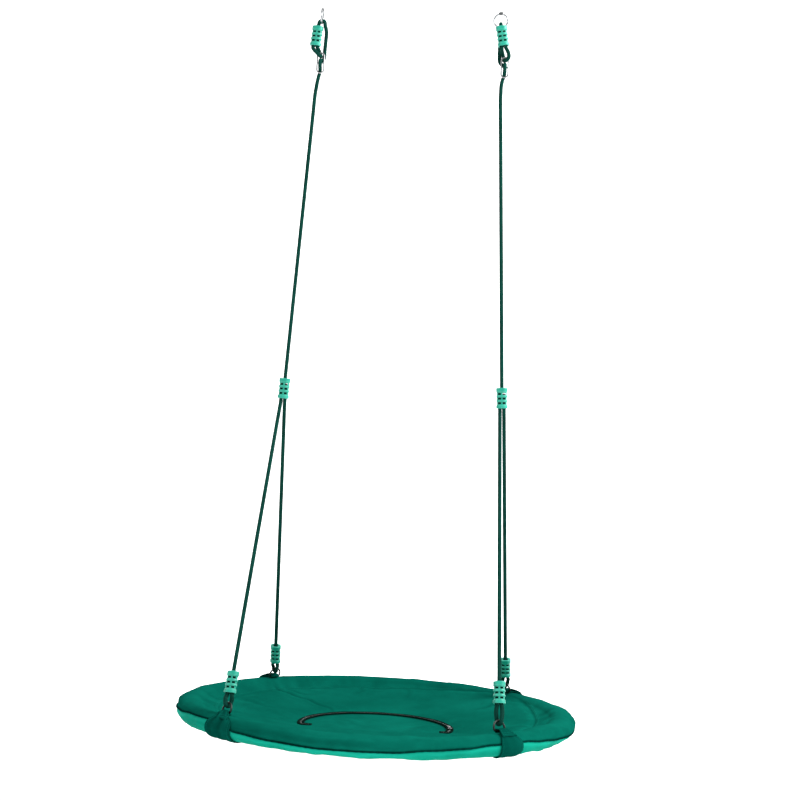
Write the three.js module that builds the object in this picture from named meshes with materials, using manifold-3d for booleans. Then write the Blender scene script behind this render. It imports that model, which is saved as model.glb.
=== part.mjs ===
// Saucer nest swing: a round padded seat on a steel ring, hung by four legs from two ropes.
// Millimetres, +Z up, +Y to the back. The origin is midway between the inner tops of the two
// hanging rings, where the hooks of a swing frame bear.
import * as THREE from "three";
import { mergeVertices } from "three/addons/utils/BufferGeometryUtils.js";
import Module from "manifold-3d";

const wasm = await Module();
wasm.setup();

// ---------------------------------------------------------------- driving dimensions
const HANG_X = 231;          // half distance between the two hanging rings
const RING_R = 17.5;         // hanging ring, centreline radius
const RING_WIRE = 2.5;       // hanging ring, wire radius
const ROPE_R = 5;            // rope radius
const LINK_HALF = 9;         // adjuster link, half width of the centreline
const LINK_Z = [-118.5, -152.5]; // adjuster link, centres of its two round ends
const LINK_WIRE = 2;         // adjuster link, wire radius
const CLAMP_L = 52, CLAMP_W = 14.5, CLAMP_D = 9.8;  // rope clamp: length, half width, half depth
const STRAND = 5.2;          // a strand's distance from the clamp's axis
const DEAD_END = 34;         // how far a dead end reaches into its clamp
const MID_TOP = [277.6, 0, -955.5], MID_BOT = [280.3, 0, -1007.4]; // branch clamp, right side
const JOINT_Z = -949.4;      // pitch axis, just above the branch clamps
const RIM_R = 465;           // steel ring, centreline radius
const RIM_Z = -1788;         // height of the steel ring's centre
const RIM_A = 33, RIM_B = 25;      // half axes of the padded rim's section
const TUBE_R = 12.5, TUBE_IN = 11; // steel tube
const COVER_T = 1.6;         // thickness of the sewn covers
const SEG = 32;              // steps around the seat
const STRAP_W = 60, STRAP_END_W = 24, STRAP_T = 2.4; // rim strap
const DEE_HALF = 16.3, DEE_LEG = 6, DEE_WIRE = 2.3;  // D ring of a rim strap
const ZIP_R = 188, ZIP_FROM = -8, ZIP_TO = 192;      // curved zip: radius and ends of the arc in degrees
const ZIP_HOOK = 16;         // radius of the turned-in ends of the zip

const V = (x, y, z) => new THREE.Vector3(x, y, z);
const RAD = Math.PI / 180;

// ---------------------------------------------------------------- materials
const mat = (color, roughness, metalness = 0) => () => new THREE.MeshStandardMaterial({ color, roughness, metalness });
const STEEL = mat(0xc9cdd0, 0.25, 1.0);
const ROPE = mat(0x0c4a40, 0.85);
const CLAMP = mat(0x33c9ad, 0.45);
const TOP = mat(0x0a6c5c, 0.8);
const UNDER = mat(0x10ad8f, 0.8);
const PIPE = mat(0x02342d, 0.8);
const STRAP = mat(0x03463c, 0.85);
const ZINC = mat(0xa8abad, 0.4, 0.9);
const FOAM = mat(0x55585c, 0.95);
const ZIP = mat(0x102b24, 0.6);
const root = new THREE.Group();
function add(name, geometry, material, parent = root) {
  const mesh = new THREE.Mesh(geometry, material());
  mesh.name = name;
  parent.add(mesh);
  return mesh;
}

// ---------------------------------------------------------------- shape helpers
// A closed surface through a row of equal sections; closed = the row meets itself.
function loft(rings, closed = false) {
  const n = rings[0].length, pos = [], idx = [];
  for (const r of rings) for (const p of r) pos.push(p.x, p.y, p.z);
  const rows = closed ? rings.length : rings.length - 1;
  for (let i = 0; i < rows; i++) {
    const a = i * n, b = ((i + 1) % rings.length) * n;
    for (let j = 0; j < n; j++) {
      const k = (j + 1) % n;
      idx.push(a + j, a + k, b + k, a + j, b + k, b + j);
    }
  }
  if (!closed) {
    const e = (rings.length - 1) * n;
    for (let j = 1; j < n - 1; j++) {
      idx.push(0, j + 1, j);
      idx.push(e, e + j, e + j + 1);
    }
  }
  let vol = 0;
  const P = (i) => V(pos[3 * i], pos[3 * i + 1], pos[3 * i + 2]);
  for (let i = 0; i < idx.length; i += 3) vol += P(idx[i]).dot(P(idx[i + 1]).cross(P(idx[i + 2])));
  if (vol < 0) for (let i = 0; i < idx.length; i += 3) { const t = idx[i + 1]; idx[i + 1] = idx[i + 2]; idx[i + 2] = t; }
  const g = new THREE.BufferGeometry();
  g.setAttribute("position", new THREE.Float32BufferAttribute(pos, 3));
  g.setIndex(idx);
  return g;
}

// A path given by its own points, so that an extrusion takes one step per point.
class PointPath extends THREE.Curve {
  constructor(points) { super(); this.points = points; }
  getPoint(t, out = V(0, 0, 0)) {
    const s = Math.min(Math.max(t, 0), 1) * (this.points.length - 1);
    const i = Math.min(Math.floor(s), this.points.length - 2);
    return out.lerpVectors(this.points[i], this.points[i + 1], s - i);
  }
  getPointAt(u, out) { return this.getPoint(u, out); }
  getTangent(t, out = V(0, 0, 0)) {
    const n = this.points.length - 1, i = Math.round(Math.min(Math.max(t, 0), 1) * n);
    const a = this.points[Math.max(i - 1, 0)], b = this.points[Math.min(i + 1, n)];
    return out.subVectors(b, a).normalize();
  }
  getTangentAt(u, out) { return this.getTangent(u, out); }
}

function roundSection(r, n) {
  const s = new THREE.Shape();
  for (let i = 0; i < n; i++) {
    const a = (i + 0.5) * 2 * Math.PI / n;
    if (i === 0) s.moveTo(r * Math.cos(a), r * Math.sin(a)); else s.lineTo(r * Math.cos(a), r * Math.sin(a));
  }
  s.closePath();
  return s;
}

// A rope along a row of points; roundStart/roundEnd pull the last steps in to a dome.
function rope(points, roundEnd = false, roundStart = false) {
  const pts = points.map((p) => p.clone());
  const scale = pts.map(() => 1);
  const dome = (end) => {
    const a = end ? pts[pts.length - 1] : pts[0];
    const b = end ? pts[pts.length - 2] : pts[1];
    const d = a.clone().sub(b).normalize();
    const steps = [[2.5, 0.866], [4.33, 0.5], [4.95, 0.1]];
    for (const [h, s] of steps) {
      const p = a.clone().addScaledVector(d, h);
      if (end) { pts.push(p); scale.push(s); } else { pts.unshift(p); scale.unshift(s); }
    }
  };
  if (roundEnd) dome(true);
  if (roundStart) dome(false);
  const N = 8;
  const g = new THREE.ExtrudeGeometry(roundSection(ROPE_R, N), { steps: pts.length - 1, extrudePath: new PointPath(pts), bevelEnabled: false });
  const q = g.getAttribute("position");
  for (let i = 0; i < q.count; i++) {
    const p = V(q.getX(i), q.getY(i), q.getZ(i));
    let best = 0, bd = Infinity;
    for (let j = 0; j < pts.length; j++) {
      const off = Math.abs(p.distanceTo(pts[j]) - ROPE_R);
      if (off < 1e-3) { best = j; bd = 0; break; }
      if (off < bd) { bd = off; best = j; }
    }
    if (scale[best] !== 1) {
      p.sub(pts[best]).multiplyScalar(scale[best]).add(pts[best]);
      q.setXYZ(i, p.x, p.y, p.z);
    }
  }
  return clean(g);
}

function clean(g) {
  const h = g.clone();
  h.deleteAttribute("normal");
  h.deleteAttribute("uv");
  return mergeVertices(h, 1e-3);
}

// Smooth route through key points, with an even step, thinned on the straight runs.
function route(keys, step) {
  const c = new THREE.CatmullRomCurve3(keys, false, "centripetal");
  const n = Math.max(2, Math.round(c.getLength() / step));
  return c.getSpacedPoints(n);
}
function straight(a, b, step) {
  const n = Math.max(1, Math.round(a.distanceTo(b) / step)), out = [];
  for (let i = 1; i < n; i++) out.push(a.clone().lerp(b, i / n));
  return out;
}

const toManifold = (g) => {
  const m = clean(g);
  return new wasm.Manifold(new wasm.Mesh({
    numProp: 3,
    vertProperties: new Float32Array(m.getAttribute("position").array),
    triVerts: new Uint32Array(m.index.array),
  }));
};
const fromManifold = (m) => {
  const k = m.getMesh(), g = new THREE.BufferGeometry();
  g.setAttribute("position", new THREE.Float32BufferAttribute(new Float32Array(k.vertProperties), 3));
  g.setIndex(new THREE.BufferAttribute(new Uint32Array(k.triVerts), 1));
  return g;
};

// ---------------------------------------------------------------- rope clamp shell
// Local frame: z = 0 at the mouth with two strands, z = CLAMP_L at the mouth with one; x is the width.
function oval(a, b, z, n = 10) {
  // a slot with round ends: half length a, half width b
  const out = [];
  for (let i = 0; i < n; i++) {
    const t = i * 2 * Math.PI / n;
    const cx = Math.max(a - b, 0) * Math.sign(Math.round(Math.cos(t) * 1e6));
    out.push(V(cx + b * Math.cos(t), b * Math.sin(t), z));
  }
  return out;
}
function clampShell() {
  const waist = 0.9;
  const outer = loft([
    oval(CLAMP_W, CLAMP_D, 0), oval(CLAMP_W, CLAMP_D, 8.5), oval(CLAMP_W - waist, CLAMP_D - waist, 9.6),
    oval(CLAMP_W - waist, CLAMP_D - waist, 41), oval(CLAMP_W, CLAMP_D, 42), oval(CLAMP_W, CLAMP_D, CLAMP_L),
  ]);
  const a = STRAND + ROPE_R + 0.6, b = ROPE_R + 0.6;
  const bore = loft([oval(a, b, -1), oval(a, b, DEAD_END + 3), oval(b + 1.6, b, 49), oval(b + 1.4, b, CLAMP_L + 1)]);
  let s = toManifold(outer).subtract(toManifold(bore));
  const keep = new THREE.BoxGeometry(60, 30, 80).translate(0, 15.15, 26);
  s = s.intersect(toManifold(keep));
  for (const x of [-6.1, 6.1]) for (const z of [13.2, 24.8, 36.4]) {
    s = s.subtract(toManifold(new THREE.BoxGeometry(7.6, 12, 5.6).translate(x, 10.2, z)));
  }
  return fromManifold(s);
}
const SHELL = clampShell();

// A clamp with its two half shells; returns its frame for the ropes that it holds.
function clamp(name, bottom, axisTo) {
  const a = axisTo.clone().sub(bottom).normalize();
  const w = V(1, 0, 0).addScaledVector(a, -a.x).normalize();
  const d = new THREE.Vector3().crossVectors(a, w);
  for (const [half, turn] of [["front", Math.PI], ["back", 0]]) {
    const g = new THREE.Group();
    const m = new THREE.Matrix4().makeBasis(w, d, a).setPosition(bottom);
    m.decompose(g.position, g.quaternion, g.scale);
    const mesh = add(`${name}_${half}`, SHELL.clone(), CLAMP, g);
    mesh.rotation.z = turn;
    root.add(g);
  }
  const at = (x, h) => bottom.clone().addScaledVector(w, x).addScaledVector(a, h);
  // the strand that passes right through, from the two-strand mouth up
  const through = () => [0, 18, 35].map((h) => at(-STRAND, h)).concat([at(-4.2, 39.5), at(-1.3, 45.5), at(0, 50), at(0, CLAMP_L)]);
  const dead = () => [at(STRAND, DEAD_END), at(STRAND, 18), at(STRAND, 0)];
  return { a, w, d, at, through, dead };
}

// ---------------------------------------------------------------- hanging rings
function hangRing(name, x, edgeOn) {
  const g = new THREE.TorusGeometry(RING_R, RING_WIRE, 6, 20);
  if (edgeOn) g.rotateY(Math.PI / 2); else g.rotateX(Math.PI / 2);
  g.translate(x, 0, -RING_WIRE - RING_R + RING_WIRE + 2.5 - 0);
  return add(name, clean(g), STEEL);
}
hangRing("hang_ring_L", -HANG_X, true);
hangRing("hang_ring_R", HANG_X, false);

// ---------------------------------------------------------------- adjuster links
function link(name, x) {
  const pts = [], n = 8, sides = 6;
  for (let i = 0; i <= n; i++) { const t = Math.PI * i / n; pts.push([x + LINK_HALF * Math.cos(t), LINK_Z[0] + LINK_HALF * Math.sin(t)]); }
  for (let i = 0; i <= n; i++) { const t = Math.PI + Math.PI * i / n; pts.push([x + LINK_HALF * Math.cos(t), LINK_Z[1] + LINK_HALF * Math.sin(t)]); }
  const m = pts.length, rings = [];
  for (let i = 0; i < m; i++) {
    const p = pts[(i + m - 1) % m], q = pts[(i + 1) % m];
    const tx = q[0] - p[0], tz = q[1] - p[1], l = Math.hypot(tx, tz);
    const nx = tz / l, nz = -tx / l, ring = [];
    for (let j = 0; j < sides; j++) {
      const t = (j + 0.5) * 2 * Math.PI / sides, c = LINK_WIRE * Math.cos(t), s = LINK_WIRE * Math.sin(t);
      ring.push(V(pts[i][0] + nx * c, s, pts[i][1] + nz * c));
    }
    rings.push(ring);
  }
  const bar = new THREE.CylinderGeometry(LINK_WIRE * 0.95, LINK_WIRE * 0.95, 2 * LINK_HALF, 6).rotateZ(Math.PI / 2)
    .translate(x, 0, (LINK_Z[0] + LINK_Z[1]) / 2);
  return add(name, fromManifold(toManifold(loft(rings, true)).add(toManifold(bar))), ZINC);
}
link("adjuster_link_L", -229.5);
link("adjuster_link_R", 246.5);

// ---------------------------------------------------------------- upper ropes
const mainX = (z) => 237.2 + 0.051 * (-z - 175);
const midAxis = (side) => V(side * (MID_TOP[0] - MID_BOT[0]), 0, MID_TOP[2] - MID_BOT[2]).normalize();
const jointAt = (side) => V(side * MID_TOP[0], 0, MID_TOP[2]).addScaledVector(midAxis(side), 6.1);

function mainRun(side, from) {
  const j = jointAt(side), end = j.clone().addScaledVector(midAxis(side), 5.5);
  return straight(from, end, 42).concat([end]);
}

{ // left side: the rope crosses the ring's wire in the X-Z plane
  const top = V(-241, 0, -40), dir = V(-4.5, -1.5, -51.8).normalize();
  const bottom = top.clone().addScaledVector(dir, CLAMP_L);
  const c = clamp("top_clamp_L", bottom, top);
  const D = c.at(STRAND, 0), T = c.at(-STRAND, 0);
  const eye = route([D, V(-239.2, -0.6, -96.5), V(-236.3, 3.2, -101.5), V(-234, 7.8, -107), V(-232.2, 8.4, -113.5), V(-230.9, 4.6, -117.4),
    V(-229.8, 0, -117.3), V(-230.8, -4.3, -118.2), V(-233.2, -8, -117), V(-237, -10, -113), V(-242.5, -9.5, -108), V(-248, -7, -102), V(-251, -3.5, -96.5), T], 6.2);
  const up = [V(-240.7, 0, -38.2), V(-239.3, 0, -35.4), V(-238.95, 0, -32.85)];
  add("rope_L_eye", rope([...c.dead().slice(0, 2), ...eye, ...c.through().slice(1), ...up]), ROPE);

  const arch = [];
  for (let i = 0; i <= 8; i++) { const t = Math.PI * (1 - i / 8); arch.push(V(-HANG_X + 7.95 * Math.cos(t), 0, -32.5 + 7.95 * Math.sin(t))); }
  add("rope_L_bight", rope(arch), ROPE);

  const down = route([V(-223.05, 0, -32.85), V(-222.3, 0, -38), V(-219.5, 0.5, -48), V(-218.3, 1.5, -60), V(-219.2, 3, -75), V(-220.3, 5, -90), V(-221.4, 8, -103),
    V(-221.5, 10.6, -114), V(-222.8, 10.4, -121.5), V(-226, 6.5, -127.4), V(-229.3, 0, -128), V(-229.5, -4.5, -129.2), V(-229.5, -7.7, -133.5), V(-229.5, -7.9, -139),
    V(-229.5, -6, -146), V(-229.8, 0, -152), V(-230.8, 5, -155.6), V(-232, 8.2, -160), V(-233.6, 8.5, -167), V(-235.3, 6.5, -177), V(-236.6, 3.8, -189),
    V(-238, 1.5, -203), V(-mainX(-218), 0, -218)], 7);
  add("rope_L_main", rope([...down, ...mainRun(-1, V(-mainX(-218), 0, -218))], true), ROPE);
}
{ // right side: the rope crosses the ring's wire in the Y-Z plane, and stays one piece
  const top = V(233, -13, -34), dir = V(8.5, -4, -51.5).normalize();
  const bottom = top.clone().addScaledVector(dir, CLAMP_L);
  const c = clamp("top_clamp_R", bottom, top);
  const D = c.at(STRAND, 0), T = c.at(-STRAND, 0);
  const eye = route([D, c.at(STRAND, -4), V(253.2, -15, -98.5), V(256, -12, -108), V(255, -10.5, -113.5), V(251.5, -7.6, -117.5), V(248.5, -3.6, -118), V(246, 0, -117.3),
    V(244.6, 4.4, -117.6), V(243.3, 8, -114.8), V(241.8, 8.6, -109), V(240.2, 6.5, -102.5), V(238.6, 1, -97.5), V(237.3, -8, -94), c.at(-STRAND, -5.5), T], 6.4);
  const over = route([c.at(0, CLAMP_L), V(232.6, -12.6, -31.3), V(232, -10.8, -27.8), V(231.4, -7.4, -25.2), V(231.1, -3, -24.2), V(231, 2, -24.4), V(231, 6.2, -27.2),
    V(231, 8.1, -31), V(231, 8.4, -36), V(231.2, 9, -45), V(231, 10.5, -60), V(230.8, 12, -78), V(230.8, 13, -95), V(231, 13, -108), V(232.8, 12.6, -118), V(237, 10.6, -125.2), V(242.3, 6.2, -128.2),
    V(246.3, 0, -128), V(246.8, -4.5, -129.2), V(247, -7.7, -133.5), V(247, -7.9, -139), V(247, -6, -146), V(246.5, 0, -152), V(245.5, 5, -155.6), V(244, 8.2, -160),
    V(242, 8.6, -166), V(240.2, 7, -175), V(239.3, 4.5, -187), V(239.3, 2, -201), V(mainX(-218), 0, -218)], 7);
  add("rope_R_main", rope([...c.dead().slice(0, 2), ...eye, ...c.through().slice(1, -1), ...over, ...mainRun(1, V(mainX(-218), 0, -218))], true), ROPE);
}

// ---------------------------------------------------------------- seat: rim section helpers
const rimPoint = (az, r, z) => V(r * Math.cos(az), r * Math.sin(az), RIM_Z + z);
const onRim = (phi, off) => {
  // a point at a distance off outside the rim's section, in the radial plane
  const c = Math.cos(phi), s = Math.sin(phi);
  let nx = c / RIM_A, nz = s / RIM_B;
  const l = Math.hypot(nx, nz);
  return [RIM_R + RIM_A * c + nx / l * off, RIM_B * s + nz / l * off];
};

// ---------------------------------------------------------------- branch clamps, legs, seat clamps, D rings, straps
const LOOP = { FR: 47, FL: 31, BL: 29, BR: 31 };
const DEE_PHI = 112;                                 // where the D ring bars sit on the rim section, degrees
const corners = { FL: [-1, -1], FR: [1, -1], BL: [-1, 1], BR: [1, 1] };
for (const [sideName, side] of [["L", -1], ["R", 1]]) {
  const bot = V(side * MID_BOT[0], 0, MID_BOT[2]), top = V(side * MID_TOP[0], 0, MID_TOP[2]);
  const m = clamp(`branch_clamp_${sideName}`, bot, top);
  for (const [row, sy] of [["F", -1], ["B", 1]]) {
    const key = row + sideName;
    const az = Math.atan2(sy, side);
    const er = V(Math.cos(az), Math.sin(az), 0), et = V(-Math.sin(az), Math.cos(az), 0);
    const [br, bz] = onRim(DEE_PHI * RAD, 1.2 + STRAP_T + 0.4 + DEE_WIRE);
    const bar = rimPoint(az, br, bz);
    const exit = m.at(row === "F" ? -STRAND : STRAND, -9);
    // the D ring turns about its bar until it points along the leg
    let l = exit.clone().sub(bar).normalize(), touch, apex, e2, alpha, wire;
    for (let i = 0; i < 6; i++) {
      e2 = l.clone().addScaledVector(et, -l.dot(et)).normalize();
      alpha = Math.atan2(l.dot(et), l.dot(e2));
      const c = e2.clone().multiplyScalar(Math.cos(alpha)).addScaledVector(et, Math.sin(alpha));
      apex = bar.clone().addScaledVector(e2, DEE_LEG).addScaledVector(c, DEE_HALF);
      touch = apex.clone().addScaledVector(c, -(DEE_WIRE + ROPE_R + 0.4));
      l = exit.clone().sub(touch).normalize();
    }
    wire = et.clone().multiplyScalar(Math.cos(alpha)).addScaledVector(e2, -Math.sin(alpha));
    const nrm = new THREE.Vector3().crossVectors(wire, l).normalize(); // the rope's loop lies in the plane of l and nrm
    // seat clamp
    const cb = touch.clone().addScaledVector(l, LOOP[key]);
    const s = clamp(`seat_clamp_${key}`, cb, cb.clone().addScaledVector(l, CLAMP_L));
    if (nrm.dot(s.w) < 0) nrm.negate();
    // leg rope
    const reach = LOOP[key];
    const strand = (u, h) => { // u = which strand (-1 through, 1 dead end), h above the rope's lowest point
      const k = Math.min(Math.max((h - 8) / (reach - 10), 0), 1), q = k * k * (3 - 2 * k);
      const dirn = nrm.clone().multiplyScalar(1 - q).addScaledVector(s.w, q).normalize();
      const half = 7.8 + (STRAND - 7.8) * q + 1.3 * Math.sin(Math.PI * k);
      return touch.clone().addScaledVector(l, h).addScaledVector(dirn, u * half);
    };
    const loop = [];
    const hs = reach > 45 ? [0.86, 0.68, 0.5, 0.34] : [0.82, 0.6, 0.4];
    for (const f of hs) loop.push(strand(-1, reach * f));
    for (let i = 0; i <= 6; i++) {
      const t = Math.PI * i / 6;
      loop.push(apex.clone().addScaledVector(nrm, -7.8 * Math.cos(t)).addScaledVector(l, -7.8 * Math.sin(t)));
    }
    for (const f of hs.slice().reverse()) loop.push(strand(1, reach * f));
    const down = s.through().reverse(), dead = s.dead().reverse();
    const run = straight(exit, s.at(0, CLAMP_L), 42);
    let upper;
    if (row === "F") {
      const j = jointAt(side), start = j.clone().addScaledVector(m.a, -5.5);
      upper = [start, ...m.through().reverse().slice(1)];
    } else {
      upper = m.dead();
    }
    const bend = [m.at(row === "F" ? -STRAND : STRAND, -4.5), exit.clone().addScaledVector(l, -6)];
    add(`rope_leg_${key}`, rope([...upper, ...bend, ...run.slice(0), ...down, ...loop, ...dead], false, row === "F"), ROPE);

    // D ring
    const ring = [], path = [];
    const R = 4;
    path.push([-(DEE_HALF - R), 0], [DEE_HALF - R, 0], [DEE_HALF - R + R * 0.707, R * 0.293], [DEE_HALF, R]);
    for (let i = 0; i <= 8; i++) { const t = Math.PI * i / 8; path.push([DEE_HALF * Math.cos(t), DEE_LEG + DEE_HALF * Math.sin(t)]); }
    path.push([-DEE_HALF, R], [-(DEE_HALF - R + R * 0.707), R * 0.293]);
    const dn = new THREE.Vector3().crossVectors(et, e2), M = path.length;
    for (let i = 0; i < M; i++) {
      const p = path[(i + M - 1) % M], q = path[(i + 1) % M];
      const tx = q[0] - p[0], ty = q[1] - p[1], len = Math.hypot(tx, ty), nx = ty / len, ny = -tx / len, sec = [];
      for (let j = 0; j < 6; j++) {
        const t = (j + 0.5) * Math.PI / 3, c = DEE_WIRE * Math.cos(t), k = DEE_WIRE * Math.sin(t);
        sec.push(bar.clone().addScaledVector(et, path[i][0] + nx * c).addScaledVector(e2, path[i][1] + ny * c).addScaledVector(dn, k));
      }
      ring.push(sec);
    }
    add(`d_ring_${key}`, loft(ring, true), STEEL);

    // rim strap: sewn under the rim, round its outside, over the top, through the D ring and back on itself
    const line = []; // [r, z, nr, nz, width]
    const put = (r, z, nr, nz, w) => line.push([r, z, nr, nz, w]);
    const mid = 1.4 + STRAP_T / 2;
    for (const phi of [-150, -125, -100, -70, -35, 0, 30, 55, 76, 93]) {
      const off = mid + (Math.abs(phi) < 50 ? 1.6 : 0);
      const [r, z] = onRim(phi * RAD, off);
      const c = Math.cos(phi * RAD) / RIM_A, q = Math.sin(phi * RAD) / RIM_B, n = Math.hypot(c, q);
      put(r, z, c / n, q / n, phi < 40 ? STRAP_W : STRAP_W + (STRAP_END_W - STRAP_W) * (phi - 40) / 72);
    }
    const nb = onRim(DEE_PHI * RAD, 1), n0 = onRim(DEE_PHI * RAD, 0), nr = nb[0] - n0[0], nz = nb[1] - n0[1];
    const rad = DEE_WIRE + 0.5 + STRAP_T / 2;
    for (const t of [0, 45, 90, 135, 180]) { // round the bar, starting underneath
      const c = -Math.cos(t * RAD), sn = Math.sin(t * RAD);
      // along-surface direction pointing inward
      const ar = -nz, az2 = nr;
      put(br + rad * (c * nr + sn * ar), bz + rad * (c * nz + sn * az2), -(c * nr + sn * ar), -(c * nz + sn * az2), STRAP_END_W);
    }
    for (const [phi, off, w] of [[84, mid + STRAP_T + 4.2, 30], [68, mid + STRAP_T + 1.6, 36], [48, mid + STRAP_T + 0.9, 44]]) {
      const [r, z] = onRim(phi * RAD, off);
      const c = Math.cos(phi * RAD) / RIM_A, q = Math.sin(phi * RAD) / RIM_B, n = Math.hypot(c, q);
      put(r, z, -c / n, -q / n, w);
    }
    const secs = line.map(([r, z, a, b, w]) => {
      const sec = [];
      const across = [-1, 0, 1], facet = (th) => Math.cos(Math.PI / SEG) / Math.cos(Math.abs(th) - Math.PI / SEG);
      for (const u of across) { const th = u * w / 2 / r; const k = facet(th); sec.push(rimPoint(az + th, (r + a * STRAP_T / 2) * k, z + b * STRAP_T / 2)); }
      for (const u of across.slice().reverse()) { const th = u * w / 2 / r; const k = facet(th); sec.push(rimPoint(az + th, (r - a * STRAP_T / 2) * k, z - b * STRAP_T / 2)); }
      return sec;
    });
    add(`rim_strap_${key}`, loft(secs), STRAP);
  }
}

// ---------------------------------------------------------------- steel ring in four arcs, foam sleeve on each
const TUBE_GAP = 0.4 / RIM_R;
[["F", -90], ["R", 0], ["B", 90], ["L", 180]].forEach(([name, mid]) => {
  const n = SEG / 4, from = (mid - 45) * RAD, at = (i) => from + (i === 0 ? TUBE_GAP : 0) + (i === n ? -TUBE_GAP : 0) + i * (Math.PI / 2) / n;
  const section = (az, ra, rb, sides) => {
    const out = [];
    for (let j = 0; j < sides; j++) { const t = j * 2 * Math.PI / sides; out.push(rimPoint(az, RIM_R + ra * Math.cos(t), rb * Math.sin(t))); }
    return out;
  };
  const hollow = (a, b, c, d, sides) => {
    const rows = [];
    for (let i = 0; i <= n; i++) rows.push(section(at(i), a, b, sides));
    for (let i = n; i >= 0; i--) rows.push(section(at(i), c, d, sides));
    return loft(rows, true);
  };
  add(`ring_tube_${name}`, hollow(TUBE_R, TUBE_R, TUBE_IN, TUBE_IN, 8), STEEL);
  add(`rim_foam_${name}`, hollow(RIM_A - COVER_T - 2.6, RIM_B - COVER_T - 2.6, TUBE_R + 1.4, TUBE_R + 1.4, 8), FOAM);
});

// ---------------------------------------------------------------- covers, piping, pad
function turned(profile) {
  const g = new THREE.LatheGeometry(profile.map(([r, z]) => new THREE.Vector2(r, z)), SEG);
  g.rotateX(Math.PI / 2);
  g.translate(0, 0, RIM_Z);
  const h = clean(g), ix = h.index.array, keep = [];
  for (let i = 0; i < ix.length; i += 3) if (ix[i] !== ix[i + 1] && ix[i + 1] !== ix[i + 2] && ix[i] !== ix[i + 2]) keep.push(ix[i], ix[i + 1], ix[i + 2]);
  h.setIndex(keep);
  let vol = 0; const p = h.getAttribute("position"), P = (i) => V(p.getX(i), p.getY(i), p.getZ(i) - RIM_Z);
  for (let i = 0; i < keep.length; i += 3) vol += P(keep[i]).dot(P(keep[i + 1]).cross(P(keep[i + 2])));
  if (vol < 0) { for (let i = 0; i < keep.length; i += 3) { const t = keep[i + 1]; keep[i + 1] = keep[i + 2]; keep[i + 2] = t; } h.setIndex(keep); }
  return h;
}
const rim = (phi, inset) => onRim(phi * RAD, -inset);
const topOut = [rim(9, 0), rim(35, 0), rim(65, 0), rim(95, 0), rim(125, 0), rim(150, 0), [413, 1.5], [380, -6.5], [300, -20.2], [194, -34], [178, -35.6], [100, -40.6], [0, -43]];
const topIn = [[0, -43 - COVER_T], [100, -40.6 - COVER_T], [178, -35.6 - COVER_T], [194, -34 - COVER_T], [300, -20.2 - COVER_T], [380, -6.5 - COVER_T], [412, 0], rim(146, COVER_T), rim(112, COVER_T), rim(75, COVER_T), rim(40, COVER_T), rim(9, COVER_T)];
add("cover_top", turned([...topOut, ...topIn, topOut[0]]), TOP);
const botOut = [rim(-9, 0), rim(-40, 0), rim(-75, 0), rim(-115, 0), rim(-150, 0), [410, -17.5], [300, -38.5], [185, -52.5], [0, -61]];
const botIn = [[0, -61 + COVER_T], [185, -52.5 + COVER_T], [300, -38.5 + COVER_T], [409, -15.8], rim(-147, COVER_T), rim(-114, COVER_T), rim(-75, COVER_T), rim(-41, COVER_T), rim(-9, COVER_T)];
add("cover_bottom", turned([...botOut, ...botIn, botOut[0]]), UNDER);
add("seat_pad", turned([[0, -45.4], [100, -43], [178, -38], [194, -36.4], [300, -22.6], [378, -9.4], [402, -4.4], [402, -14], [300, -36.1], [185, -50.1], [0, -58.6]]), FOAM);
add("rim_piping", clean(new THREE.TorusGeometry(RIM_R + RIM_A - 0.2, 2.2, 5, SEG).translate(0, 0, RIM_Z)), PIPE);

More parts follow.
